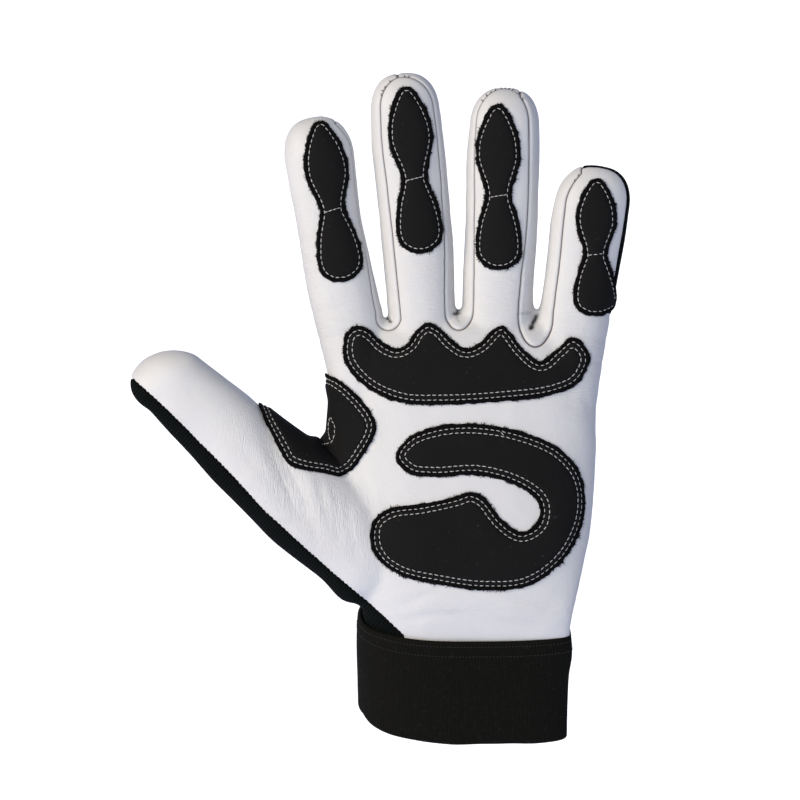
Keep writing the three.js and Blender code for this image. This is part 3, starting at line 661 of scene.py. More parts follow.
def little_outline():
    """The area that the knit covers beside the little finger and round its tip."""
    little = DIGITS["little"]
    end = little["sections"]["along"][-1]
    seam = []
    for along in np.linspace(LITTLE_KNIT["along"][0], end, 24):
        right = at(little["sections"], "along", along)["right"]
        seam.append(digit_point(little, along, right * at(LITTLE_KNIT, "along", along)["share"]))
    share = LITTLE_KNIT["share"][-1]
    for angle in np.linspace(0, 1.0, 12)[1:] * math.acos(LITTLE_KNIT_END):
        rise = (1 - end) * math.sin(angle) * LITTLE_KNIT_RISE
        across = math.copysign(abs(math.cos(angle)) ** LITTLE_TIP[0], math.cos(angle))
        seam.append(digit_point(little, end + rise, share * across + LITTLE_TIP[1] * math.sin(angle)))
    points = [point[[0, 2]] for point in seam]
    over, beside = np.array((0, 20.0)), np.array((20.0, 0))
    return np.vstack([*points, points[-1] + over, points[0] + over * 4 + beside * 2, points[0] + beside])


# %% A skin that can be cut along its fields
def crossings(triangles, value):
    """Where a field is zero along the edges of a mesh.

    Gives which triangles are cut, their corners with the lone one first, the place of each cut edge in a
    list, first for all the edges to the second corner and then to the third, and the list itself: the two
    ends of each cut edge and the share of the way between them.
    """
    above = (value > 0)[triangles]
    count = above.sum(1)
    cut = (count == 1) | (count == 2)
    flags = above[cut]
    alone = np.where(flags.sum(1) == 1, flags.argmax(1), (~flags).argmax(1))
    corner = np.take_along_axis(triangles[cut], (alone[:, None] + np.arange(3)) % 3, 1)
    ends = np.sort(np.vstack([corner[:, [0, 1]], corner[:, [0, 2]]]), 1)
    keys, index = np.unique(ends[:, 0] * len(value) + ends[:, 1], return_inverse=True)
    a, b = keys // len(value), keys % len(value)
    return cut, corner, index, a, b, value[a] / (value[a] - value[b])


class Skin:
    """A triangle mesh. values holds arrays with one row for each point, the points themselves among them."""

    def __init__(self, triangles, **values):
        self.triangles = triangles
        self.values = values

    def split(self, name, level=0.0):
        """Adds an edge line where a field has a level."""
        value = self.values[name] - level
        cut, corner, index, a, b, share = crossings(self.triangles, value)
        total = len(value)
        for key, array in self.values.items():
            s = share[:, None] if array.ndim == 2 else share
            self.values[key] = np.concatenate([array, array[a] + (array[b] - array[a]) * s])
        q, r = total + index[: len(corner)], total + index[len(corner):]
        pieces = [
            self.triangles[~cut],
            np.stack([corner[:, 0], q, r], 1),
            np.stack([q, corner[:, 1], corner[:, 2]], 1),
            np.stack([q, corner[:, 2], r], 1),
        ]
        self.triangles = np.vstack(pieces)
        return self

    def part(self, name, level=0.0, above=True):
        """The part of the skin where a field is above (or below) a level."""
        whole = Skin(self.triangles, **self.values).split(name, level)
        middle = (whole.values[name][whole.triangles] - level).sum(1)
        kept = whole.triangles[middle > 0] if above else whole.triangles[middle <= 0]
        used, index = np.unique(kept, return_inverse=True)
        return Skin(index.reshape(-1, 3), **{key: array[used] for key, array in whole.values.items()})


def rim_of(triangles):
    """The directed edges that only one triangle has."""
    edges = neighbours(triangles)
    total = triangles.max() + 1
    forward, backward = edges[:, 0] * total + edges[:, 1], edges[:, 1] * total + edges[:, 0]
    return edges[~np.isin(forward, backward)]


def thicken(outer, inner, triangles):
    """A closed wall between two copies of a sheet."""
    total = len(outer)
    a, b = rim_of(triangles).T
    rim = np.vstack([np.stack([b, a, a + total], 1), np.stack([b, a + total, b + total], 1)])
    return np.vstack([outer, inner]), np.vstack([triangles, triangles[:, ::-1] + total, rim])


# %% [markdown]
# ## Smooth noise
#
# Leather, knit and felt are never quite even. One small function gives smooth random values in space, from
# a fixed table of random numbers, so the glove comes out the same each time.

# %% Noise
TABLE_SIZE = 4096
RANDOM_TABLE = np.random.default_rng(7).uniform(-1, 1, TABLE_SIZE)
# large primes that scatter neighbouring cells over the table
SCATTER = (73856093, 19349663, 83492791)
SEED_SHIFT = 17.3


def noise(points, size, seed=0):
    """Smooth values between -1 and 1, with bumps about a size in millimetres across."""
    cell = points / size + seed * SEED_SHIFT
    low = np.floor(cell).astype(np.int64)
    part = cell - low
    part = part * part * (3 - 2 * part)
    total = np.zeros(len(points))
    for corner in itertools.product((0, 1), repeat=3):
        place = low + corner
        key = (place[:, 0] * SCATTER[0]) ^ (place[:, 1] * SCATTER[1]) ^ (place[:, 2] * SCATTER[2])
        weight = np.prod(np.where(corner, part, 1 - part), axis=1)
        total += weight * RANDOM_TABLE[key & (TABLE_SIZE - 1)]
    return total


# %% [markdown]
# Along the thumb the leather is overlocked to the knit, and each loop of thread bites a small notch into
# the leather's edge. A row of small waves added to the seam's field makes the notches.

# %% Notches along the thumb
BITE_PITCH = 1.7
BITE_DEPTH = 0.42
BITE_WANDER = 0.3


def thumb_course(points):
    """How far along the thumb's line a point lies, in millimetres from its root."""
    root, axis, _ = digit_axis(DIGITS["thumb"])
    return (points - root) @ axis


def thumb_bites(points):
    """How far each notch reaches into the leather, more or less than its mean."""
    turn = thumb_course(points) / BITE_PITCH + BITE_WANDER * noise(points, 6, 20)
    return BITE_DEPTH * (0.5 - np.abs(np.sin(math.pi * turn)))


# %% All seam fields on the skin
normals = normals_of(skin_points, skin_triangles)
skin = Skin(
    skin_triangles,
    points=skin_points,
    normals=normals,
    hem=(skin_points - cuff_top) @ wrist_axis + CUFF_OVERLAP,
    behind=skin_points[:, 1] - sheet_at(skin_points) + thumb_root_reach(skin_points),
    thumb=outline_field(skin_points, normals, thumb_outline()) + thumb_bites(skin_points),
    little=outline_field(skin_points, normals, little_outline()),
)
skin = skin.part("hem")
for name, (left, right, drop) in STRIPS.items():
    outline = strip_outline(left, right, drop)
    skin.values[name] = outline_field(skin.values["points"], skin.values["normals"], outline)
print("open skin:", len(skin.triangles), "triangles")

# %% [markdown]
# ## Rolled seams
#
# Two pieces of leather are sewn together with their edges turned in, so each rolls down into the seam over
# about a millimetre. Edge lines at a few distances from the seam give the roll a clean profile.

# %% Panels
SEAM_ROLL = 1.1
ROLL_LINES = (0.15, 0.5, 1.1)


def panel_from(sheet, fields):
    """A panel's skin with its distance from the nearest of some borders, and lines along them."""
    values = sheet.values
    values["edge"] = np.min([sign * values[name] for name, sign in fields], axis=0)
    for level in ROLL_LINES:
        sheet.split("edge", level)
    return sheet


STRIP_ROLL = 1.4
KNIT_ROLL = 0.9


def roll(distance, reach):
    """How far a rolled edge has sunk at a distance from its seam."""
    share = np.clip(1 - distance / reach, 0, 1)
    return reach * (1 - np.sqrt(np.maximum(1 - share**2, 0)))


front = skin.part("thumb").part("little").part("behind", above=False)
leather_skin = front
strip_skins = {}
for name in STRIPS:
    strip_skins[name] = panel_from(front.part(name, above=False), [(name, -1), ("behind", -1)])
    leather_skin = leather_skin.part(name)
borders = [(name, 1) for name in STRIPS] + [("thumb", 1), ("little", 1), ("behind", -1)]
leather_skin = panel_from(leather_skin, borders)
print("leather:", len(leather_skin.triangles), "triangles")

# The knit is the rest: behind the sheet, left of the thumb's edge, or round the little finger
skin.values["knit"] = np.max([skin.values["behind"], -skin.values["thumb"], -skin.values["little"]], axis=0)
knit_skin = panel_from(skin.part("knit"), [("knit", 1)])
print("knit:", len(knit_skin.triangles), "triangles")

# %% [markdown]
# A worn hand leaves soft folds in the leather: across the finger joints, round the thumb's base and above
# the cuff. Each row of the table is one shallow fold, placed as seen from the palm.

# %% Folds
FOLDS = table(
    "x z turn length width depth",
    (-6, 31.6, 4, 30, 1.6, 0.42), (14, 28.6, -3, 34, 2.0, 0.4), (24, 37, -6, 20, 1.8, 0.28),
    (-16, 37.5, 22, 18, 1.6, 0.3), (6, 41, 3, 24, 1.7, 0.2),
    (-61, 81, -69, 38, 4.0, 1.35), (-57, 72, -68, 30, 2.6, 0.5), (-52, 66, -76, 24, 1.6, 0.35),
    (-47.5, 70, -80, 18, 1.4, 0.3), (-43, 66, -84, 18, 1.4, 0.25), (-38.5, 61, -80, 20, 1.6, 0.25),
    (-66, 77, -60, 16, 1.2, 0.25), (-71, 82, -56, 14, 1.1, 0.2), (-100, 97, -30, 7, 0.8, 0.3),
    (-101.6, 99.6, -32, 5, 0.7, 0.22), (-98.5, 94.8, -28, 5, 0.7, 0.2),
    (-50, 172, 10, 16, 1.0, 0.16), (-49, 160, 10, 18, 1.1, 0.2), (-47, 148, 9, 18, 1.1, 0.18),
    (-44, 135, 8, 20, 1.2, 0.22), (-42, 126, 6, 22, 1.3, 0.2), (-14, 151, 4, 18, 1.1, 0.2),
    (-14, 141, 3, 20, 1.2, 0.22), (-13, 132, 4, 20, 1.3, 0.18), (12, 147, -3, 18, 1.1, 0.2),
    (13, 138, -3, 20, 1.2, 0.2), (13, 129, -2, 20, 1.3, 0.18), (42, 126, -8, 20, 1.2, 0.2),
    (40, 118, -7, 20, 1.2, 0.18), (43, 100, -70, 22, 2.0, 0.25), (-30, 90, 30, 14, 1.6, 0.18),
    (-34, 78, -62, 16, 1.6, 0.22), (-24, 63, -70, 22, 2.0, 0.25),
)

# Painted shadows: dark marks in the creases where the leather is gathered between the fingers. They only
# darken the leather's colour and don't move its surface.
PAINTED_PINCH_SHADOWS = table(
    "x z turn length width depth",
    (-25.6, 131.8, -45, 2.8, 0.45, 1.3), (-2.7, 134.0, 12, 2.4, 0.5, 1.4), (-2.0, 135.4, 75, 3.2, 0.45, 1.3),
    (-2.1, 131.8, -80, 3.0, 0.35, 0.6), (23.6, 131.2, 64, 5.2, 0.65, 1.6), (22.5, 129.0, 10, 1.8, 0.7, 1.3),
    (20.4, 134.0, 8, 4.4, 0.35, 0.4),
)


def fold_depth(points, rows, wander=0.5):
    """How deep the folds of a table press into a surface at each point."""
    total = np.zeros(len(points))
    flat = points[:, [0, 2]] + wander * np.stack([noise(points, 7, 21), noise(points, 7, 22)], 1)
    for x, z, turn, length, width, depth in zip(*rows.values()):
        along = np.array((math.cos(math.radians(turn)), math.sin(math.radians(turn))))
        step = flat - (x, z)
        a, b = step @ along, step @ np.array((-along[1], along[0]))
        total += depth * np.exp(-((a / (length / 2)) ** 4) - (b / width) ** 2)
    return total


# %% Panel surfaces
# depth, size and seed of the leather's soft unevenness
LEATHER_WAVES = ((0.22, 17, 23), (0.12, 6, 1), (0.04, 2.2, 2))
TIP_STRETCH = 0.6


def leather_surface(sheet, reach=SEAM_ROLL):
    """The outer face of a leather panel. Seams roll less over a fingertip, where the leather is stretched."""
    points, out = sheet.values["points"], sheet.values["normals"]
    on_finger = points[:, 2] > cuff_top[2] + PALM_HEIGHT
    stretched = TIP_STRETCH * np.clip((out[:, 2] - 0.45) / 0.4, 0, 1) * on_finger
    height = -roll(sheet.values["edge"], reach) * (1 - stretched)
    height += sum(deep * noise(points, size, seed) for deep, size, seed in LEATHER_WAVES)
    return points + out * (height - fold_depth(points, FOLDS))[:, None]


# %% [markdown]
# Finer wrinkles than a mesh can carry come from the material. Two numbers stored at each point say how
# strongly the leather is crinkled there, upwards round the thumb's base and across on the fingers. Three
# more say how far the point is from its seam, how far along the thumb's line it lies, which places the
# knit's ribs, and how much painted shadow darkens the creases between the fingers.

# %% Crinkles
CRINKLES_UP = table(
    "x z across up amount",
    (-62, 78, 11, 22, 1.0), (-50, 66, 14, 20, 0.9), (-38, 62, 12, 20, 0.55), (-74, 92, 9, 12, 0.6),
    (-32, 92, 10, 12, 0.35), (34, 70, 8, 40, 0.3), (-20, 45, 14, 12, 0.3),
)
CRINKLES_ACROSS = table(
    "x z across up amount",
    (-50, 160, 9, 34, 0.7), (-44, 130, 10, 14, 0.8), (-14, 140, 12, 34, 0.6), (13, 140, 12, 34, 0.6),
    (41, 122, 12, 26, 0.6), (4, 34, 34, 6, 0.5), (-98, 97, 7, 6, 0.9), (0, 118, 46, 7, 0.4),
)


def crinkle(points, rows):
    """How strongly the patches of a table crinkle the leather at each point, from 0 to 1."""
    total = np.zeros(len(points))
    for x, z, across, up, amount in zip(*rows.values()):
        reach = ((points[:, 0] - x) / across) ** 2 + ((points[:, 2] - z) / up) ** 2
        total = np.maximum(total, amount * np.exp(-reach))
    return total


def store(thing, name, values):
    """Keeps one number for each point of a mesh, for its material to read."""
    attribute = thing.data.attributes.new(name, "FLOAT", "POINT")
    attribute.data.foreach_set("value", np.asarray(values, np.float32))


def make_panel(name, node_name, sheet, surface, material):
    """A panel with its wall, standing for a node of the frame."""
    inner = sheet.values["points"] - sheet.values["normals"] * LEATHER_WALL
    points, triangles = thicken(surface, inner, sheet.triangles)
    thing = new_object(name, points, triangles, material)
    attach(thing, "root")
    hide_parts(node_name)
    both = np.vstack([sheet.values["points"]] * 2)
    # the distance from the seam, which also sets the painted shade along it
    store(thing, "seam", np.tile(sheet.values["edge"], 2))
    store(thing, "crinkle_up", crinkle(both, CRINKLES_UP))
    store(thing, "crinkle_across", crinkle(both, CRINKLES_ACROSS))
    store(thing, "course", thumb_course(both))
    # how much painted shadow darkens the creases between the fingers
    store(thing, "pinch_shadow", np.clip(fold_depth(both, PAINTED_PINCH_SHADOWS, 0.0), 0, 1))
    print(name, len(triangles), "triangles")
    return thing


# %% [markdown]
# ## Materials
#
# Leather and pads share a fine grain with soft patches of slightly different colour. Pads, knit, elastic
# and threads share short loose fibres with specks of lint. Each effect is a node group with named inputs,
# built once.

# %% Node helpers
def group(name, inputs, outputs):
    """A new shader node group with its sockets, its tree and its two end nodes."""
    tree = bpy.data.node_groups.new(name, "ShaderNodeTree")
    for label, kind, value in inputs:
        socket = tree.interface.new_socket(label, in_out="INPUT", socket_type=kind)
        if value is not None:
            socket.default_value = value
    for label, kind in outputs:
        tree.interface.new_socket(label, in_out="OUTPUT", socket_type=kind)
    return tree, tree.nodes.new("NodeGroupInput"), tree.nodes.new("NodeGroupOutput")


def feed(tree, socket, value):
    """Links another node's output to a socket, or sets the socket's own value."""
    if isinstance(value, bpy.types.NodeSocket):
        tree.links.new(value, socket)
    else:
        socket.default_value = value


def node(tree, kind, settings=(), **inputs):
    """A node with settings and inputs. An input is a value or another node's output."""
    made = tree.nodes.new(kind)
    for key, value in dict(settings).items():
        setattr(made, key, value)
    for key, value in inputs.items():
        label = key.replace("_", " ")
        feed(tree, made.inputs[int(label[5:])] if label.startswith("input") else made.inputs[label], value)
    return made


def math_node(tree, operation, a, b=0.0):
    return node(tree, "ShaderNodeMath", {"operation": operation}, input0=a, input1=b).outputs[0]


def ramp(tree, value, low, high, first=0.0, last=1.0):
    """A value turned into another range, and held at its ends."""
    limits = {"From_Min": low, "From_Max": high, "To_Min": first, "To_Max": last}
    return node(tree, "ShaderNodeMapRange", (), Value=value, **limits).outputs[0]


# %% Shared effects
def grain_group():
    """Fine pores and small wrinkles. Scale is pores a metre."""
    tree, start, end = group(
        "grain",
        [("Vector", "NodeSocketVector", None), ("Pores", "NodeSocketFloat", 1500.0),
         ("Wrinkles", "NodeSocketFloat", 180.0), ("Wrinkle depth", "NodeSocketFloat", 1.0)],
        [("Height", "NodeSocketFloat"), ("Patches", "NodeSocketFloat")],
    )
    pores = node(tree, "ShaderNodeTexVoronoi", {"feature": "SMOOTH_F1"},
                 Vector=start.outputs["Vector"], Scale=start.outputs["Pores"])
    wrinkles = node(tree, "ShaderNodeTexNoise", (), Vector=start.outputs["Vector"],
                    Scale=start.outputs["Wrinkles"], Detail=4.0, Roughness=0.6, Distortion=0.4)
    patches = node(tree, "ShaderNodeTexNoise", (), Vector=start.outputs["Vector"], Scale=45.0, Detail=3.0)
    deep = math_node(tree, "MULTIPLY", wrinkles.outputs[0], start.outputs["Wrinkle depth"])
    fine = math_node(tree, "MULTIPLY", pores.outputs["Distance"], 0.35)
    tree.links.new(math_node(tree, "ADD", deep, fine), end.inputs["Height"])
    tree.links.new(patches.outputs[0], end.inputs["Patches"])
    return tree


def fuzz_group():
    """Short loose fibres: uneven height and light specks of lint."""
    tree, start, end = group(
        "fuzz",
        [("Vector", "NodeSocketVector", None), ("Fibres", "NodeSocketFloat", 1600.0),
         ("Lint", "NodeSocketFloat", 0.66)],
        [("Height", "NodeSocketFloat"), ("Lint mask", "NodeSocketFloat")],
    )
    fibres = node(tree, "ShaderNodeTexNoise", (), Vector=start.outputs["Vector"],
                  Scale=start.outputs["Fibres"], Detail=3.0, Roughness=0.7, Distortion=1.5)
    specks = node(tree, "ShaderNodeTexNoise", (), Vector=start.outputs["Vector"], Scale=700.0, Detail=1.0)
    tree.links.new(fibres.outputs[0], end.inputs["Height"])
    tree.links.new(ramp(tree, specks.outputs[0], start.outputs["Lint"], 0.8), end.inputs["Lint mask"])
    return tree


grain_tree, fuzz_tree = grain_group(), fuzz_group()


# %% Material bodies
def material(name, roughness, sheen=0.0, specular=0.5):
    """A new material: its tree, its Principled BSDF and its object coordinates."""
    made = bpy.data.materials.new(name)
    made.use_nodes = True
    tree = made.node_tree
    shader = tree.nodes["Principled BSDF"]
    shader.inputs["Roughness"].default_value = roughness
    shader.inputs["Sheen Weight"].default_value = sheen
    shader.inputs["Specular IOR Level"].default_value = specular
    place = tree.nodes.new("ShaderNodeTexCoord").outputs["Object"]
    return made, tree, shader, place


def place_group(tree, source, **inputs):
    """A shared effect placed in a material, with its own values."""
    return node(tree, "ShaderNodeGroup", {"node_tree": source}, **inputs)


def mix_colours(tree, factor, first, second):
    """The first colour where the factor is 0, the second where it is 1."""
    mixed = node(tree, "ShaderNodeMix", {"data_type": "RGBA"}, input0=factor, input6=first, input7=second)
    return mixed.outputs[2]


def stored(tree, name):
    """A number kept at the points of the mesh."""
    return node(tree, "ShaderNodeAttribute", {"attribute_name": name}).outputs["Fac"]


def streaks(tree, place, size):
    """Noise drawn out along the axis where its size, in bumps a metre, is smallest."""
    scaled = node(tree, "ShaderNodeMapping", (), Vector=place, Scale=size)
    return node(tree, "ShaderNodeTexNoise", (), Vector=scaled.outputs[0], Scale=1.0, Detail=3.0,
                Roughness=0.55, Distortion=0.6).outputs[0]


def bump(tree, shader, height, distance, strength):
    """Fine relief from a height, as deep as a distance in metres."""
    made = node(tree, "ShaderNodeBump", (), Height=height, Distance=distance, Strength=strength)
    tree.links.new(made.outputs[0], shader.inputs["Normal"])


# %% White leather
LEATHER_LIGHT = (0.73, 0.725, 0.7, 1)
LEATHER_DARK = (0.665, 0.65, 0.625, 1)
# painted shade in the groove of each rolled seam
SEAM_PAINTED_SHADE = (0.16, 0.115, 0.12, 1)
# painted shadow in the pinched creases between the fingers
PAINTED_PINCH_SHADOW = (0.02, 0.015, 0.015, 1)
UPWARD_STREAKS = (2100, 2100, 330)
LEVEL_STREAKS = (420, 420, 1700)


def white_leather():
    """Soft white leather: slightly uneven colour, painted shade at seams and pinches, fine grain and
    crinkles.
    """
    made, tree, shader, place = material("leather_white", 0.5, specular=0.35)
    grain = place_group(tree, grain_tree, Vector=place, Pores=1500.0, Wrinkles=330.0, Wrinkle_depth=0.8)
    colour = mix_colours(tree, grain.outputs["Patches"], LEATHER_DARK, LEATHER_LIGHT)
    # painted shade along the seams, darkest in the seam's groove
    seam = ramp(tree, stored(tree, "seam"), 0.05, 0.46, 0.97, 0.0)
    colour = mix_colours(tree, seam, colour, SEAM_PAINTED_SHADE)
    # painted shadow darkens the pinched creases between the fingers
    colour = mix_colours(tree, stored(tree, "pinch_shadow"), colour, PAINTED_PINCH_SHADOW)
    tree.links.new(colour, shader.inputs["Base Color"])
    rough = ramp(tree, grain.outputs["Patches"], 0.3, 0.7, 0.42, 0.6)
    tree.links.new(rough, shader.inputs["Roughness"])
    height = math_node(tree, "MULTIPLY", grain.outputs["Height"], 0.55)
    for name, size in (("crinkle_up", UPWARD_STREAKS), ("crinkle_across", LEVEL_STREAKS)):
        waves = math_node(tree, "MULTIPLY", streaks(tree, place, size), stored(tree, name))
        height = math_node(tree, "ADD", height, math_node(tree, "MULTIPLY", waves, 2.8))
    bump(tree, shader, height, 0.0003, 0.7)
    return made


leather_white = white_leather()

# %% Black cloths
PAD_DARK = (0.0065, 0.0064, 0.0062, 1)
PAD_LIGHT = (0.0108, 0.0104, 0.01, 1)
PAD_LINT = (0.022, 0.022, 0.021, 1)
FELT_BLACK = (0.0022, 0.0021, 0.0023, 1)
# painted shade between the knit's ribs and painted highlight on their crests
KNIT_RIB_PAINTED_SHADE = (0.0012, 0.0018, 0.0015, 1)
KNIT_RIB_PAINTED_HIGHLIGHT = (0.0048, 0.0066, 0.0056, 1)
KNIT_LINT = (0.008, 0.0095, 0.0085, 1)
KNIT_PITCH = 1.05
# painted shade between the elastic's ribs and painted highlight on their crests
ELASTIC_RIB_PAINTED_SHADE = (0.0018, 0.0017, 0.0009, 1)
ELASTIC_RIB_PAINTED_HIGHLIGHT = (0.0064, 0.006, 0.0036, 1)
ELASTIC_LINT = (0.0095, 0.0095, 0.0075, 1)


def pad_cloth():
    """Black cloth with a blacker, fibrous border of felt."""
    made, tree, shader, place = material("pad_cloth", 0.85, specular=0.1)
    grain = place_group(tree, grain_tree, Vector=place, Pores=2600.0, Wrinkles=420.0, Wrinkle_depth=0.8)
    colour = mix_colours(tree, grain.outputs["Patches"], PAD_DARK, PAD_LIGHT)
    fuzz = place_group(tree, fuzz_tree, Vector=place, Lint=0.7)
    colour = mix_colours(tree, fuzz.outputs["Lint mask"], colour, PAD_LINT)
    felt = ramp(tree, stored(tree, "edge"), 1.1, 1.7, 1.0, 0.0)
    colour = mix_colours(tree, felt, colour, FELT_BLACK)
    tree.links.new(colour, shader.inputs["Base Color"])
    rough = math_node(tree, "MULTIPLY", fuzz.outputs["Height"], math_node(tree, "MULTIPLY", felt, 2.5))
    bump(tree, shader, math_node(tree, "ADD", grain.outputs["Height"], rough), 0.0002, 0.6)
    return made


def knit_cloth():
    """Black knit with ribs across the thumb's line, with painted highlight on their crests and painted shade
    between them.
    """
    made, tree, shader, place = material("knit_black", 0.9, specular=0.06)
    course = math_node(tree, "MULTIPLY", stored(tree, "course"), math.pi / KNIT_PITCH)
    rib = math_node(tree, "ABSOLUTE", math_node(tree, "SINE", course))
    fuzz = place_group(tree, fuzz_tree, Vector=place)
    height = math_node(tree, "ADD", rib, math_node(tree, "MULTIPLY", fuzz.outputs["Height"], 0.8))
    # the ribs' crests get a painted highlight and their valleys painted shade
    colour = mix_colours(tree, rib, KNIT_RIB_PAINTED_SHADE, KNIT_RIB_PAINTED_HIGHLIGHT)
    colour = mix_colours(tree, fuzz.outputs["Lint mask"], colour, KNIT_LINT)
    tree.links.new(colour, shader.inputs["Base Color"])
    bump(tree, shader, height, 0.0004, 0.8)
    return made


def elastic_cloth():
    """Black elastic, with painted highlight on the crests of its ribs and painted shade between them."""
    made, tree, shader, place = material("elastic_black", 0.82, specular=0.1)
    fuzz = place_group(tree, fuzz_tree, Vector=place, Fibres=2600.0, Lint=0.6)
    # the ribs' crests get a painted highlight and their valleys painted shade
    colour = mix_colours(tree, stored(tree, "rib"), ELASTIC_RIB_PAINTED_SHADE, ELASTIC_RIB_PAINTED_HIGHLIGHT)
    colour = mix_colours(tree, fuzz.outputs["Lint mask"], colour, ELASTIC_LINT)
    tree.links.new(colour, shader.inputs["Base Color"])
    bump(tree, shader, fuzz.outputs["Height"], 0.0002, 0.8)
    return made


def stitch_thread(name, colour, deep):
    """Sewing thread with a twist of fibres."""
    made, tree, shader, place = material(name, 0.6)
    fuzz = place_group(tree, fuzz_tree, Vector=place, Fibres=4000.0)
    tree.links.new(mix_colours(tree, fuzz.outputs["Height"], deep, colour), shader.inputs["Base Color"])
    bump(tree, shader, fuzz.outputs["Height"], 0.0001, 0.6)
    return made


pad_black = pad_cloth()
knit_black = knit_cloth()
elastic_black = elastic_cloth()
thread_white = stitch_thread("thread_white", (0.72, 0.7, 0.66, 1), (0.5, 0.48, 0.45, 1))
thread_dark = stitch_thread("thread_dark", (0.02, 0.018, 0.016, 1), (0.01, 0.009, 0.008, 1))
thread_cuff = stitch_thread("thread_cuff", (0.013, 0.012, 0.009, 1), (0.002, 0.002, 0.0015, 1))

# %% Leather, strips and knit
palm_surface = leather_surface(leather_skin)
make_panel("leather_palm", "palm_leather", leather_skin, palm_surface, leather_white)
for name, sheet in strip_skins.items():
    new_name = name.replace("fourchette", "leather_strip")
    make_panel(new_name, name, sheet, leather_surface(sheet, STRIP_ROLL), leather_white)
knit_sunk = roll(knit_skin.values["edge"], KNIT_ROLL)[:, None]
knit_surface = knit_skin.values["points"] - knit_skin.values["normals"] * knit_sunk
make_panel("knit_back", "back_knit", knit_skin, knit_surface, knit_black)

# %% [markdown]
# ## The pads
#
# A pad is a piece of black cloth over felt, sewn on just inside its edge. Its outline is a smooth closed
# curve through a few chosen points.

# %% Pad outlines
HOURGLASS = table(
    "along half",
    (0.006, 0.32), (0.035, 0.69), (0.065, 0.87), (0.1, 0.96), (0.15, 0.995), (0.24, 0.94), (0.318, 0.83),
    (0.395, 0.66), (0.446, 0.575), (0.512, 0.64), (0.59, 0.815), (0.667, 0.95), (0.729, 0.955),
    (0.784, 0.915), (0.861, 0.76), (0.938, 0.51), (0.975, 0.34), (0.993, 0.22),
)
# digit, place along it and beside its axis, turn in degrees, length and width in millimetres
FINGER_PADS = {
    "patch_index": ("index", 0.689, 0.01, 0.9, 54.9, 15.2),
    "patch_middle": ("middle", 0.694, 0.1, -0.3, 56.6, 15.6),
    "patch_ring": ("ring", 0.671, -0.07, -2.8, 56.0, 15.6),
    "patch_little": ("little", 0.675, 0.26, -7.4, 46.6, 14.4),
}
KNUCKLE_OUTLINE = (
    (0, 0.65), (0.022, 0.44), (0.105, 0.193), (0.24, 0.022), (0.396, 0), (0.639, 0.038), (0.857, 0.125),
    (0.96, 0.28), (1, 0.6), (0.935, 0.82), (0.86, 0.66), (0.8, 0.526), (0.73, 0.68), (0.672, 0.9),
    (0.648, 0.96), (0.62, 0.94), (0.552, 0.742), (0.5, 0.68), (0.45, 0.76), (0.406, 0.89), (0.362, 0.98),
    (0.335, 0.99), (0.294, 0.89),
    (0.265, 0.75), (0.219, 0.68), (0.157, 0.766), (0.1, 0.92), (0.063, 0.957), (0.015, 0.88),
)
HOOK_OUTLINE = (
    (0.015, 0.4), (0.015, 0.24), (0.13, 0.1), (0.333, 0.033), (0.532, 0), (0.732, 0.022),
    (0.898, 0.173), (0.99, 0.411), (0.985, 0.68), (0.89, 0.843), (0.707, 0.952), (0.499, 1),
    (0.316, 0.984), (0.18, 0.915), (0.123, 0.8), (0.19, 0.7), (0.3, 0.68), (0.516, 0.689),
    (0.707, 0.611), (0.785, 0.52), (0.778, 0.405), (0.705, 0.351), (0.62, 0.42), (0.533, 0.557),
    (0.47, 0.59), (0.399, 0.562), (0.25, 0.52), (0.091, 0.487),
)
WEB_OUTLINE = (
    (0, 0.83), (0.053, 0.599), (0.188, 0.281), (0.263, 0.132), (0.381, 0.07), (0.592, 0.026),
    (0.697, 0), (0.8, 0.06), (0.907, 0.229), (0.982, 0.389), (1, 0.528), (0.937, 0.669),
    (0.832, 0.81), (0.712, 0.933), (0.599, 1), (0.4, 1.05), (0.1, 1),
)
# outline, corner across and up as shares of the palm, width and height
PALM_PADS = {
    "patch_knuckle": (KNUCKLE_OUTLINE, -0.415, 0.682, 83.4, 28.0),
    "patch_palm": (HOOK_OUTLINE, -0.327, 0.059, 73.0, 56.2),
    "patch_web": (WEB_OUTLINE, -0.712, 0.441, 40.5, 34.5),
}
WEB_PAD_WRAP = 9.0


def smooth_loop(points, steps=12):
    """A closed centripetal Catmull-Rom curve through points."""
    points = np.asarray(points, float)
    share = (np.arange(steps) / steps)[:, None]
    curve = []
    for i in range(len(points)):
        p0, p1, p2, p3 = (points[(i + k) % len(points)] for k in (-1, 0, 1, 2))
        d0, d1, d2 = (math.sqrt(np.linalg.norm(b - a)) for a, b in ((p0, p1), (p1, p2), (p2, p3)))
        t1 = ((p1 - p0) / d0 - (p2 - p0) / (d0 + d1) + (p2 - p1) / d1) * d1
        t2 = ((p2 - p1) / d1 - (p3 - p1) / (d1 + d2) + (p3 - p2) / d2) * d1
        curve.append(
            p1 + t1 * share + (3 * (p2 - p1) - 2 * t1 - t2) * share**2
            + (2 * (p1 - p2) + t1 + t2) * share**3
        )
    return np.vstack(curve)


def finger_pad_points(shares, digit, along, side_share, turn, length, width):
    """Places on a finger's pad, from shares along it and of half its width, seen from the palm."""
    digit = DIGITS[digit]
    centre = digit_point(digit, along, side_share)
    _, axis, side = digit_axis(digit)
    angle = math.radians(turn)
    long = axis * math.cos(angle) + side * math.sin(angle)
    wide = side * math.cos(angle) - axis * math.sin(angle)
    points = [centre + long * (a - 0.5) * length + wide * h * width / 2 for a, h in shares]
    return np.array(points)[:, [0, 2]]


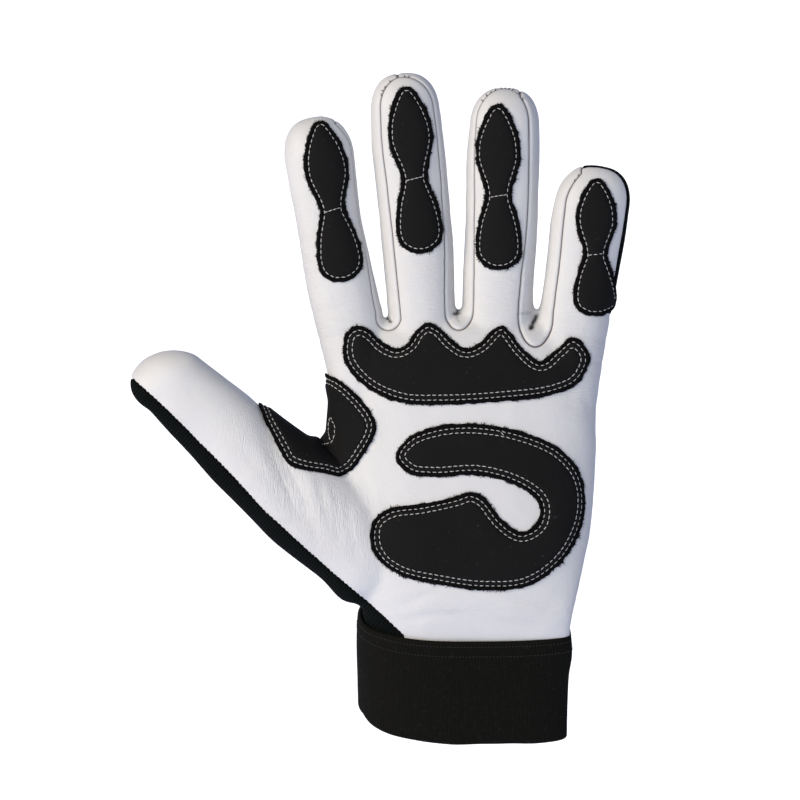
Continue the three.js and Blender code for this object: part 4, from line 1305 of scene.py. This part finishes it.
def finger_pad_outline(*facts):
    """An hourglass on a finger, as a row of FINGER_PADS places it."""
    shares = [(0, 0), *zip(HOURGLASS["along"], HOURGLASS["half"]), (1, 0)]
    shares += [(a, -h) for a, h in zip(HOURGLASS["along"][::-1], HOURGLASS["half"][::-1])]
    return smooth_loop(finger_pad_points(shares, *facts))


def palm_pad_outline(outline, across, up, width, height):
    """An outline on the palm, as a row of PALM_PADS places it."""
    corner = np.array((across * PALM_WIDTH, cuff_top[2] + up * PALM_HEIGHT))
    return smooth_loop(corner + np.array(outline) * (width, height))


# %% [markdown]
# A pad's top follows the skin below it. Its height depends on the distance from its edge: a thin frayed
# border of felt, a channel where the stitches pull it down, and a soft crown inside. The outline itself is
# a little ragged, and tufts of fibre stand out of it.

# %% Pad surfaces
PAD_LIFT = 0.25
PAD_LINES = (0.15, 0.4, 0.8, 1.2, 1.6, 2.0, 2.4, 2.9, 3.3, 3.7, 4.4)
PAD_UNDERSIDE = 0.12
FELT_HEIGHT = 0.75
FELT_ROUNDING = 0.5
CROWN_RISE = 1.4
CHANNEL_DEPTH = 0.45
CHANNEL_WIDTH = 0.42
# depth, size and seed of the ragged edge, which fades out inwards
EDGE_RAGS = ((0.3, 1.5, 3), (0.32, 0.75, 4))
RAG_REACH = 1.4


def pad_height(edge, rows, crown):
    """Height of a pad over the skin at a distance from its edge."""
    border = FELT_HEIGHT * np.sqrt(np.clip(edge / FELT_ROUNDING, 0, 1))
    rise = (crown - FELT_HEIGHT) * (1 - np.exp(-np.maximum(edge - rows[0], 0) / CROWN_RISE))
    height = border + rise
    for row in rows:
        height -= CHANNEL_DEPTH * np.exp(-(((edge - row) / CHANNEL_WIDTH) ** 2))
    return height


def pad_skin(name, outline, wrap):
    """The part of the leather's skin under a pad, with its distance from the pad's edge."""
    sheet = Skin(skin.triangles, **{key: skin.values[key] for key in ("points", "normals", "behind")})
    values = sheet.values
    low, high = outline.min(0) - 2, outline.max(0) + 2
    flat = values["points"][:, [0, 2]]
    near = ((flat > low) & (flat < high)).all(1)
    kept = sheet.triangles[near[sheet.triangles].all(1)]
    used, index = np.unique(kept, return_inverse=True)
    sheet = Skin(index.reshape(-1, 3), **{key: array[used] for key, array in values.items()})
    values = sheet.values
    edge = -outline_field(values["points"], values["normals"], outline)
    ragged = sum(deep * noise(values["points"], size, seed) for deep, size, seed in EDGE_RAGS)
    edge += ragged * np.clip(RAG_REACH - edge, 0, 1)
    values["edge"] = np.minimum(edge, wrap - values["behind"])
    sheet = sheet.part("edge")
    for level in PAD_LINES:
        sheet.split("edge", level)
    return sheet


SHORTEST_LINE = 8


def contour(sheet, surface, out, level):
    """Closed lines on a surface where its edge distance has a level: places and directions out."""
    value = sheet.values["edge"] - level
    value[value == 0] = 1e-9
    _, corner, index, a, b, share = crossings(sheet.triangles, value)
    share = share[:, None]
    places = surface[a] + (surface[b] - surface[a]) * share
    ways = out[a] + (out[b] - out[a]) * share
    half = len(corner)
    links = {}
    for i, j in zip(index[:half], index[half:]):
        links.setdefault(i, []).append(j)
        links.setdefault(j, []).append(i)
    lines, seen = [], set()
    starts = sorted(links, key=lambda k: len(links[k]))
    for first in starts:
        if first in seen:
            continue
        line, here = [first], first
        seen.add(first)
        while True:
            onward = [k for k in links[here] if k not in seen]
            if not onward:
                break
            here = onward[0]
            seen.add(here)
            line.append(here)
        closed = len(line) > 2 and first in links[line[-1]]
        if closed:
            line.append(first)
        if len(line) > SHORTEST_LINE:
            lines.append((places[line], ways[line]))
    return lines


def even_steps(places, ways, pitch):
    """Points at even steps along a line, with the directions along it and out of the surface."""
    length = np.concatenate([[0], np.cumsum(np.linalg.norm(np.diff(places, axis=0), axis=1))])
    count = max(int(round(length[-1] / pitch)), 1)
    middles = (np.arange(count) + 0.5) * length[-1] / count

    def along(where, array):
        return np.stack([np.interp(where, length, array[:, i]) for i in range(3)], 1)

    step = pitch * 0.3
    way = along(middles + step, places) - along(middles - step, places)
    out = along(middles, ways)
    return along(middles, places), unit(way), unit(out)


def unit(vectors):
    """Vectors scaled to length one."""
    return vectors / np.maximum(np.linalg.norm(vectors, axis=1, keepdims=True), 1e-12)


# %% [markdown]
# ## Stitches
#
# A stitch is a short piece of thread that comes up through one hole and goes down through the next. Each is
# a small arched capsule. All stitches of a pad are one mesh, built from arrays.

# %% Stitch shapes
STITCH_RINGS = 6
STITCH_SIDES = 6
STITCH_SWING = 0.09
FIBRE_BEND = 0.22


def threads(centres, along, out, length, radius, lift, seed):
    """Arched capsules at centres: points and triangles."""
    rng = np.random.default_rng(seed)
    count = len(centres)
    out = unit(out - along * (out * along).sum(1, keepdims=True))
    across = np.cross(along, out)
    swing = rng.normal(0, STITCH_SWING, count)[:, None]
    along = unit(along + across * swing)
    across = np.cross(along, out)
    size = length * rng.uniform(0.9, 1.1, count)[:, None, None]
    t = np.linspace(-1, 1, STITCH_RINGS)
    girth = radius * (1 - 0.75 * np.abs(t) ** 3)
    arch = lift * (1 - t**2) - 0.4 * radius * np.abs(t) ** 4
    run = along[:, None] * t[None, :, None] * size / 2
    spine = centres[:, None] + run + out[:, None] * arch[None, :, None]
    angle = np.arange(STITCH_SIDES) * 2 * math.pi / STITCH_SIDES
    circle = (
        np.cos(angle)[None, :, None] * across[:, None] + np.sin(angle)[None, :, None] * out[:, None]
    )
    rings = spine[:, :, None] + circle[:, None] * girth[None, :, None, None]
    points = rings.reshape(count, -1, 3)
    ends = spine[:, [0, -1]] + along[:, None] * np.array((-1, 1))[None, :, None] * radius * 0.3
    points = np.concatenate([points, ends], 1)
    k = np.arange(STITCH_SIDES)
    n = (k + 1) % STITCH_SIDES
    shape = []
    for i in range(STITCH_RINGS - 1):
        low, high = i * STITCH_SIDES, (i + 1) * STITCH_SIDES
        shape.append(np.stack([low + k, low + n, high + n], 1))
        shape.append(np.stack([low + k, high + n, high + k], 1))
    first, last = STITCH_RINGS * STITCH_SIDES, STITCH_RINGS * STITCH_SIDES + 1
    top = (STITCH_RINGS - 1) * STITCH_SIDES
    shape.append(np.stack([np.full(STITCH_SIDES, first), n, k], 1))
    shape.append(np.stack([np.full(STITCH_SIDES, last), top + k, top + n], 1))
    shape = np.vstack(shape)
    size = points.shape[1]
    triangles = (shape[None] + np.arange(count)[:, None, None] * size).reshape(-1, 3)
    return points.reshape(-1, 3), triangles


def tufts(places, ways, width, seed):
    """Thin bent spikes of fibre at places: each way is its direction times its length."""
    rng = np.random.default_rng(seed)
    count = len(places)
    length = np.linalg.norm(ways, axis=1, keepdims=True)
    ahead = ways / length
    helper = unit(np.cross(ahead, rng.normal(0, 1, (count, 3))))
    other = np.cross(ahead, helper)
    bend = rng.normal(0, FIBRE_BEND, (count, 3)) * length
    angle = np.arange(3) * 2 * math.pi / 3
    circle = np.cos(angle)[None, :, None] * helper[:, None] + np.sin(angle)[None, :, None] * other[:, None]
    base = places[:, None] - ahead[:, None] * width + circle * width
    middle = (places + ways * 0.55 + bend * 0.5)[:, None] + circle * width * 0.7
    tip = (places + ways + bend)[:, None]
    points = np.concatenate([base, middle, tip], 1)
    k = np.arange(3)
    n = (k + 1) % 3
    shape = np.vstack([
        np.stack([k, n, n + 3], 1), np.stack([k, n + 3, k + 3], 1),
        np.stack([k + 3, n + 3, np.full(3, 6)], 1), [[0, 2, 1]],
    ])
    triangles = (shape[None] + np.arange(count)[:, None, None] * 7).reshape(-1, 3)
    return points.reshape(-1, 3), triangles


# %% [markdown]
# Besides the rows round its edge, a finger's pad has a short row across its waist, the web's pad has two
# rows round its lip, and one loose thread lies on the hook. These lines are drawn as seen from the palm and
# laid on the surface by a ray.

# %% Extra rows
EXTRA_LINES = {
    "patch_web": (
        ((-45.6, 98.6), (-46.1, 96.1), (-46.0, 93.3), (-45.5, 90.9)),
        ((-45.4, 99.0), (-43.9, 95.5), (-44.0, 92.6), (-45.0, 90.4), (-46.7, 89.8), (-48.3, 89.6)),
    ),
    "patch_palm": (((11.9, 93.9), (13.7, 92.3)),),
}


def on_surface(tree, line):
    """A line in the XZ plane laid on a surface from the palm's side: places and directions out."""
    line = np.asarray(line, float)
    steps = np.linspace(0, len(line) - 1, 8 * (len(line) - 1) + 1)
    flat = np.stack([np.interp(steps, np.arange(len(line)), line[:, i]) for i in range(2)], 1)
    places, ways = [], []
    for x, z in flat:
        place, way, _, _ = tree.ray_cast(Vector((x, -FAR, z)), Vector((0, 1, 0)))
        if place is not None:
            places.append(place)
            ways.append(way if way.y < 0 else -way)
    return np.array(places), np.array(ways)


# %% Make the pads
STITCH_PITCH = 1.95
STITCH_LENGTH = 1.45
STITCH_RADIUS = 0.15
STITCH_ARCH = 0.12
FRAY_PITCH = 0.17
FRAY_LINE = 0.2
FIBRE_RADIUS = 0.12
FIBRE_LENGTHS = (0.25, 0.8)
# a few fibres are shorter or longer than the rest: factors, and how often each comes up
STRAY_LENGTHS = (0.8, 1.05, 1.45)
STRAY_SHARES = (0.55, 0.4, 0.05)


def fray(sheet, surface, out, seed):
    """Tufts all round a pad's edge."""
    rng = np.random.default_rng(seed)
    parts = []
    for places, ways in contour(sheet, surface, out, FRAY_LINE):
        centres, along, up = even_steps(places, ways, FRAY_PITCH)
        count = len(centres)
        outward = -np.cross(along, up)
        middle = places.mean(0)
        if ((centres - middle) * outward).sum() < 0:
            outward = -outward
        bunch = 0.9 + 0.9 * np.clip(noise(centres, 1.3, 30), -0.6, 1)[:, None]
        stray = rng.choice(STRAY_LENGTHS, (count, 1), p=STRAY_SHARES)
        lengths = rng.uniform(*FIBRE_LENGTHS, (count, 1)) * bunch * stray
        spread = 0.6 * along * rng.normal(0, 1, (count, 1)) + 0.25 * up * rng.normal(0.2, 1, (count, 1))
        start = centres - up * rng.uniform(0.0, 0.4, (count, 1))
        parts.append(tufts(start, unit(outward + spread) * lengths, FIBRE_RADIUS, seed + 1))
    return parts


# A crease that runs down from the corner of the web, the lip with its groove, and the filled corner.
# Folds with a negative depth stand out.
PAD_FOLDS = table(
    "x z turn length width depth",
    (-43.6, 87.0, -60, 11, 0.9, 0.6), (-41.5, 88.5, -52, 9, 1.4, 0.3), (-46.8, 97.6, 92, 6, 1.5, -0.8),
    (-44.6, 95.5, 88, 9, 0.5, 0.5), (-47.8, 90.3, -4, 9.5, 2.4, -2.4),
)


def make_pad(name, outline, rows, crown, wrap, seed, lines=()):
    """A pad with its fringe, and its stitches as a piece of their own."""
    sheet = pad_skin(name, outline, wrap)
    points, out, edge = (sheet.values[key] for key in ("points", "normals", "edge"))
    height = PAD_LIFT + pad_height(edge, rows, crown) + 0.05 * noise(points, 2.5, 5) * (edge > 0.3)
    height += 0.16 * noise(points, 9, 24) * np.clip(edge / 3, 0, 1) - fold_depth(points, PAD_FOLDS, 0.2)
    surface = points + out * height[:, None]
    bottom = points + out * PAD_UNDERSIDE
    parts = [thicken(surface, bottom, sheet.triangles)] + fray(sheet, surface, out, seed)
    points, triangles = combine(parts)
    thing = new_object(name.replace("patch", "pad"), points, triangles, pad_black)
    depth_in = np.zeros(len(points))
    depth_in[: 2 * len(edge)] = np.tile(edge, 2)
    store(thing, "edge", depth_in)
    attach(thing, "root")
    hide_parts(name)
    stitches = []
    for row in rows:
        for places, ways in contour(sheet, surface, out, row):
            centres, along, up = even_steps(places, ways, STITCH_PITCH)
            stitches.append(threads(centres, along, up, STITCH_LENGTH, STITCH_RADIUS, STITCH_ARCH, seed))
    tree = BVHTree.FromPolygons(surface.tolist(), sheet.triangles.tolist())
    for line in lines:
        places, ways = on_surface(tree, line)
        centres, along, up = even_steps(places, ways, STITCH_PITCH * 0.9)
        thin = STITCH_RADIUS * 0.9
        stitches.append(threads(centres, along, up, STITCH_LENGTH, thin, STITCH_ARCH, seed + 5))
    sewn = new_object(name.replace("patch", "stitches"), *combine(stitches), thread_white)
    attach(sewn, "root")
    print(name, len(thing.data.polygons), "triangles;", len(sewn.data.polygons), "in stitches")
    return thing


WAIST_ENDS = ((0.44, -0.36), (0.456, 0.36))
FINGER_ROWS = (1.65,)
FINGER_CROWN = 1.5
for seed, (name, facts) in enumerate(FINGER_PADS.items()):
    waist = finger_pad_points(WAIST_ENDS, *facts)
    make_pad(name, finger_pad_outline(*facts), FINGER_ROWS, FINGER_CROWN, 0.0, 10 * seed, [waist])
PALM_ROWS = {"patch_knuckle": (1.6, 3.2), "patch_palm": (1.6, 3.2), "patch_web": (1.4, 2.8)}
PALM_CROWN = 1.6
for seed, (name, facts) in enumerate(PALM_PADS.items(), 10):
    wrap = WEB_PAD_WRAP if name == "patch_web" else 0.0
    lines = EXTRA_LINES.get(name, ())
    make_pad(name, palm_pad_outline(*facts), PALM_ROWS[name], PALM_CROWN, wrap, 10 * seed, lines)

# %% [markdown]
# Over the fingertips a few uneven dark stitches cross the seams, where the strips were closed by hand.

# %% Fingertip stitches
# digit, its left (-1) or right (1) seam, and angles round the tip in degrees
TIP_STITCHES = (
    ("middle", -1, (30, 38, 46, 62)), ("middle", 1, (84, 76)),
    ("ring", -1, (38, 50, 60, 70, 82, 90, 98, 106)), ("ring", 1, (46,)),
    ("little", -1, (34, 44)),
)
skin_tree = BVHTree.FromPolygons(skin.values["points"].tolist(), skin.triangles.tolist())
tip_rng = np.random.default_rng(41)
centres, along, out = [], [], []
for name, hand, angles in TIP_STITCHES:
    digit = DIGITS[name]
    middle = digit_point(digit, digit["sections"]["along"][-1], 0)
    for angle in angles:
        spot = cap_point(digit, hand, math.radians(angle))
        place, way, _, _ = skin_tree.ray_cast(Vector((spot[0], -FAR, spot[2])), Vector((0, 1, 0)))
        if place is None:
            continue
        radial = spot - middle
        radial = np.array((radial[0], 0, radial[2])) / np.hypot(radial[0], radial[2])
        swing = np.array((radial[2], 0, -radial[0])) * tip_rng.uniform(-0.9, 0.9)
        centres.append(np.array(place) + radial * tip_rng.uniform(-0.15, 0.15))
        along.append(radial + swing)
        out.append(np.array(way if way.y < 0 else -way))
TIP_STITCH_LENGTH = 1.1
TIP_STITCH_ARCH = 0.05
ways = unit(np.array(along))
sewn = threads(np.array(centres), ways, np.array(out), TIP_STITCH_LENGTH, STITCH_RADIUS, TIP_STITCH_ARCH, 42)
tip_threads = new_object("stitches_tips", *sewn, thread_dark)
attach(tip_threads, "root")
print("fingertip stitches:", len(centres))

# %% [markdown]
# ## The cuff
#
# The cuff is a band of woven elastic, folded over rubber threads that draw it into fine upright ribs. It is
# one closed wall: outside up, over the rounded top, inside down, and round the bottom rim.

# %% Cuff
RIBS = 226
RIB_POINTS = 4
RIB_DEPTH = 0.11
RIM_STEPS = 5
OUTSIDE_STEPS = 46
INSIDE_STEPS = 10
SECTION_STEPS = 1440
CUFF_DROP = 1.3
CUFF_BACK_DROP = 2.6
CUFF_HUG = 0.8
RIM_REACH_LEFT = 0.9
RIM_CORNER = 2.4
RIM_REACH_RIGHT = 2.9
# depth, size and seed of the cuff's waviness
CUFF_WAVES = ((0.22, 14, 8), (0.08, 5, 9))
RIM_WAVE = 0.4


def cuff_section(along, grow):
    """Evenly spaced points round the cuff at a share of its height, grown out by some millimetres."""
    row = at(CUFF, "along", along)
    size = {
        "left": row["left"] * WRIST_WIDTH / 2 + grow, "right": row["right"] * WRIST_WIDTH / 2 + grow,
        "front": row["front"] * WRIST_DEPTH / 2 + grow, "back": row["back"] * WRIST_DEPTH / 2 + grow,
        "level": row["level"] * WRIST_DEPTH / 2,
    }
    centre = wrist_axis * along * CUFF_HEIGHT
    dense = ring(centre, ACROSS, back_at(1), size, SECTION_STEPS, PALM_ROUNDNESS)
    loop = np.vstack([dense, dense[:1]])
    length = np.concatenate([[0], np.cumsum(np.linalg.norm(np.diff(loop, axis=0), axis=1))])
    where = np.linspace(0, length[-1], RIBS * RIB_POINTS, endpoint=False)
    return np.stack([np.interp(where, length, loop[:, i]) for i in range(3)], 1)


def cuff_profile():
    """Steps round the cuff's wall: share along it, growth, and how much of the ribs shows."""
    half = CUFF_THICKNESS / 2
    edge = half / CUFF_HEIGHT
    steps = [(along, CUFF_THICKNESS, 1.0) for along in np.linspace(edge, 1 - edge, OUTSIDE_STEPS)]
    for angle in np.linspace(0, math.pi, RIM_STEPS + 2)[1:-1]:
        steps.append((1 - edge + edge * math.sin(angle), half + half * math.cos(angle), 0.5))
    steps += [(along, 0.0, 0.0) for along in np.linspace(1 - edge, edge, INSIDE_STEPS)]
    for angle in np.linspace(0, math.pi, RIM_STEPS + 2)[1:-1]:
        steps.append((edge - edge * math.sin(angle), half - half * math.cos(angle), 0.5))
    return steps


rib_wave = np.abs(np.sin(math.pi * np.arange(RIBS * RIB_POINTS) / RIB_POINTS))


def cuff_ring(along, grow, ribs):
    """One ring of the cuff's wall, with its ribs, waviness and slanted rims, and the way out of it."""
    hug = CUFF_HUG * math.exp(-((1 - along) * CUFF_HEIGHT / 2.5)) * grow / CUFF_THICKNESS
    points = cuff_section(along, CUFF_GAP + grow - hug)
    out = points - wrist_axis * along * CUFF_HEIGHT
    out = unit(out - wrist_axis * (out @ wrist_axis)[:, None])
    wave = sum(deep * noise(points, size, seed) for deep, size, seed in CUFF_WAVES)
    rim = math.exp(-along * CUFF_HEIGHT / 4)
    weight = 0.4 + 0.6 * rim
    points = points + out * (ribs * RIB_DEPTH * (rib_wave - 0.5) + wave * weight)[:, None]
    points += wrist_axis * (RIM_WAVE * rim * noise(points, 9, 11))[:, None]
    side = np.clip((points[:, 0] / (WRIST_WIDTH / 2) + 1) / 0.9, 0, 1)
    reach = RIM_REACH_LEFT + (RIM_REACH_RIGHT - RIM_REACH_LEFT) * side
    reach -= RIM_CORNER * np.exp(-np.maximum(points[:, 0] + WRIST_WIDTH / 2, 0) / 2.5)
    drop = CUFF_DROP + CUFF_BACK_DROP * np.clip(out @ back_at(1) + 0.55, 0, 1)
    points -= wrist_axis * (drop * along + reach * (1 - along))[:, None]
    return points, out


def make_cuff():
    """The cuff as one closed wall."""
    rings = [cuff_ring(*step)[0] for step in cuff_profile()]
    count, total = RIBS * RIB_POINTS, len(rings)
    here = np.arange(total)[:, None] * count + np.arange(count)
    right = np.arange(total)[:, None] * count + (np.arange(count) + 1) % count
    above, above_right = np.roll(here, -1, axis=0), np.roll(right, -1, axis=0)
    triangles = np.vstack([
        np.stack([here, right, above_right], -1).reshape(-1, 3),
        np.stack([here, above_right, above], -1).reshape(-1, 3),
    ])
    thing = new_object("elastic_cuff", np.vstack(rings), triangles, elastic_black)
    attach(thing, "root")
    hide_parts("cuff_band")
    store(thing, "rib", np.tile(rib_wave, total))
    print("cuff:", len(triangles), "triangles")
    return thing


make_cuff()

# %% [markdown]
# Two rows of dark stitches hold the cuff, close under its top edge. They show as fine dots.

# %% Cuff stitches
CUFF_ROWS = (1.7, 5.2)
CUFF_STITCH_PITCH = 1.2
CUFF_STITCH_LENGTH = 0.7
CUFF_STITCH_RADIUS = 0.16
CUFF_STITCH_ARCH = 0.06
rows = []
for seed, below in enumerate(CUFF_ROWS):
    points, out = cuff_ring(1 - below / CUFF_HEIGHT, CUFF_THICKNESS, 1.0)
    closed = np.vstack([points, points[:1]])
    centres, along, up = even_steps(closed, np.vstack([out, out[:1]]), CUFF_STITCH_PITCH)
    shape = (CUFF_STITCH_LENGTH, CUFF_STITCH_RADIUS, CUFF_STITCH_ARCH)
    rows.append(threads(centres, along, up, *shape, 60 + seed))
cuff_threads = new_object("stitches_cuff", *combine(rows), thread_cuff)
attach(cuff_threads, "root")
print("cuff stitches:", len(cuff_threads.data.polygons), "triangles")

# %% [markdown]
# ## Light and floor
#
# The glove stands before a plain white sweep. A large, soft and warm light from the left models the
# fingers, a cooler one from the front, a little left, fills the shadows, and the bluish room tints the
# sides that turn away to the right. Camera rays see the sweep as pure white, and other rays see it dimmer
# and bluish, so that it doesn't wash out the leather's edges.

# %% Stage
def backdrop():
    """A floor that bends up into a wall."""
    depth, width, floor, bend = 3.6, 8.0, -0.25, 0.5
    profile = [(-6.0, floor), (depth - bend, floor)]
    for angle in np.linspace(0, math.pi / 2, 16)[1:]:
        profile.append((depth - bend + bend * math.sin(angle), floor + bend - bend * math.cos(angle)))
    profile.append((depth, 7.0))
    points = np.array([(x, y, z) for y, z in profile for x in (-width, width)]) / MM
    k = np.arange(len(profile) - 1) * 2
    triangles = np.vstack([np.stack([k, k + 1, k + 3], 1), np.stack([k, k + 3, k + 2], 1)])
    made, tree, shader, place = material("backdrop_white", 0.9)
    shader.inputs["Base Color"].default_value = (0.6, 0.6, 0.6, 1)
    seen = tree.nodes.new("ShaderNodeLightPath").outputs["Is Camera Ray"]
    glow = mix_colours(tree, seen, (0.3, 0.34, 0.5, 1), (1, 1, 1, 1))
    tree.links.new(glow, shader.inputs["Emission Color"])
    shader.inputs["Emission Strength"].default_value = 1.0
    thing = new_object("backdrop", points, triangles, made)


def area_light(name, place, size, power, colour):
    """A square light in metres that points at the glove."""
    data = bpy.data.lights.new(name, "AREA")
    data.size = size
    data.energy = power
    data.color = colour
    thing = bpy.data.objects.new(name, data)
    thing.location = place
    thing.rotation_euler = (Vector(AIM) - Vector(place)).to_track_quat("-Z", "Y").to_euler()
    bpy.context.scene.collection.objects.link(thing)


backdrop()
area_light("key", (-2.0, -1.5, 0.9), 1.1, 36, (1, 0.86, 0.66))
area_light("fill", (-0.9, -2.5, 0.5), 1.2, 28, (0.94, 0.96, 1))
world = bpy.data.worlds.new("room")
bpy.context.scene.world = world
world.use_nodes = True
world.node_tree.nodes["Background"].inputs["Color"].default_value = (0.64, 0.74, 1, 1)
world.node_tree.nodes["Background"].inputs["Strength"].default_value = 0.23
bpy.context.scene.view_settings.view_transform = "Standard"
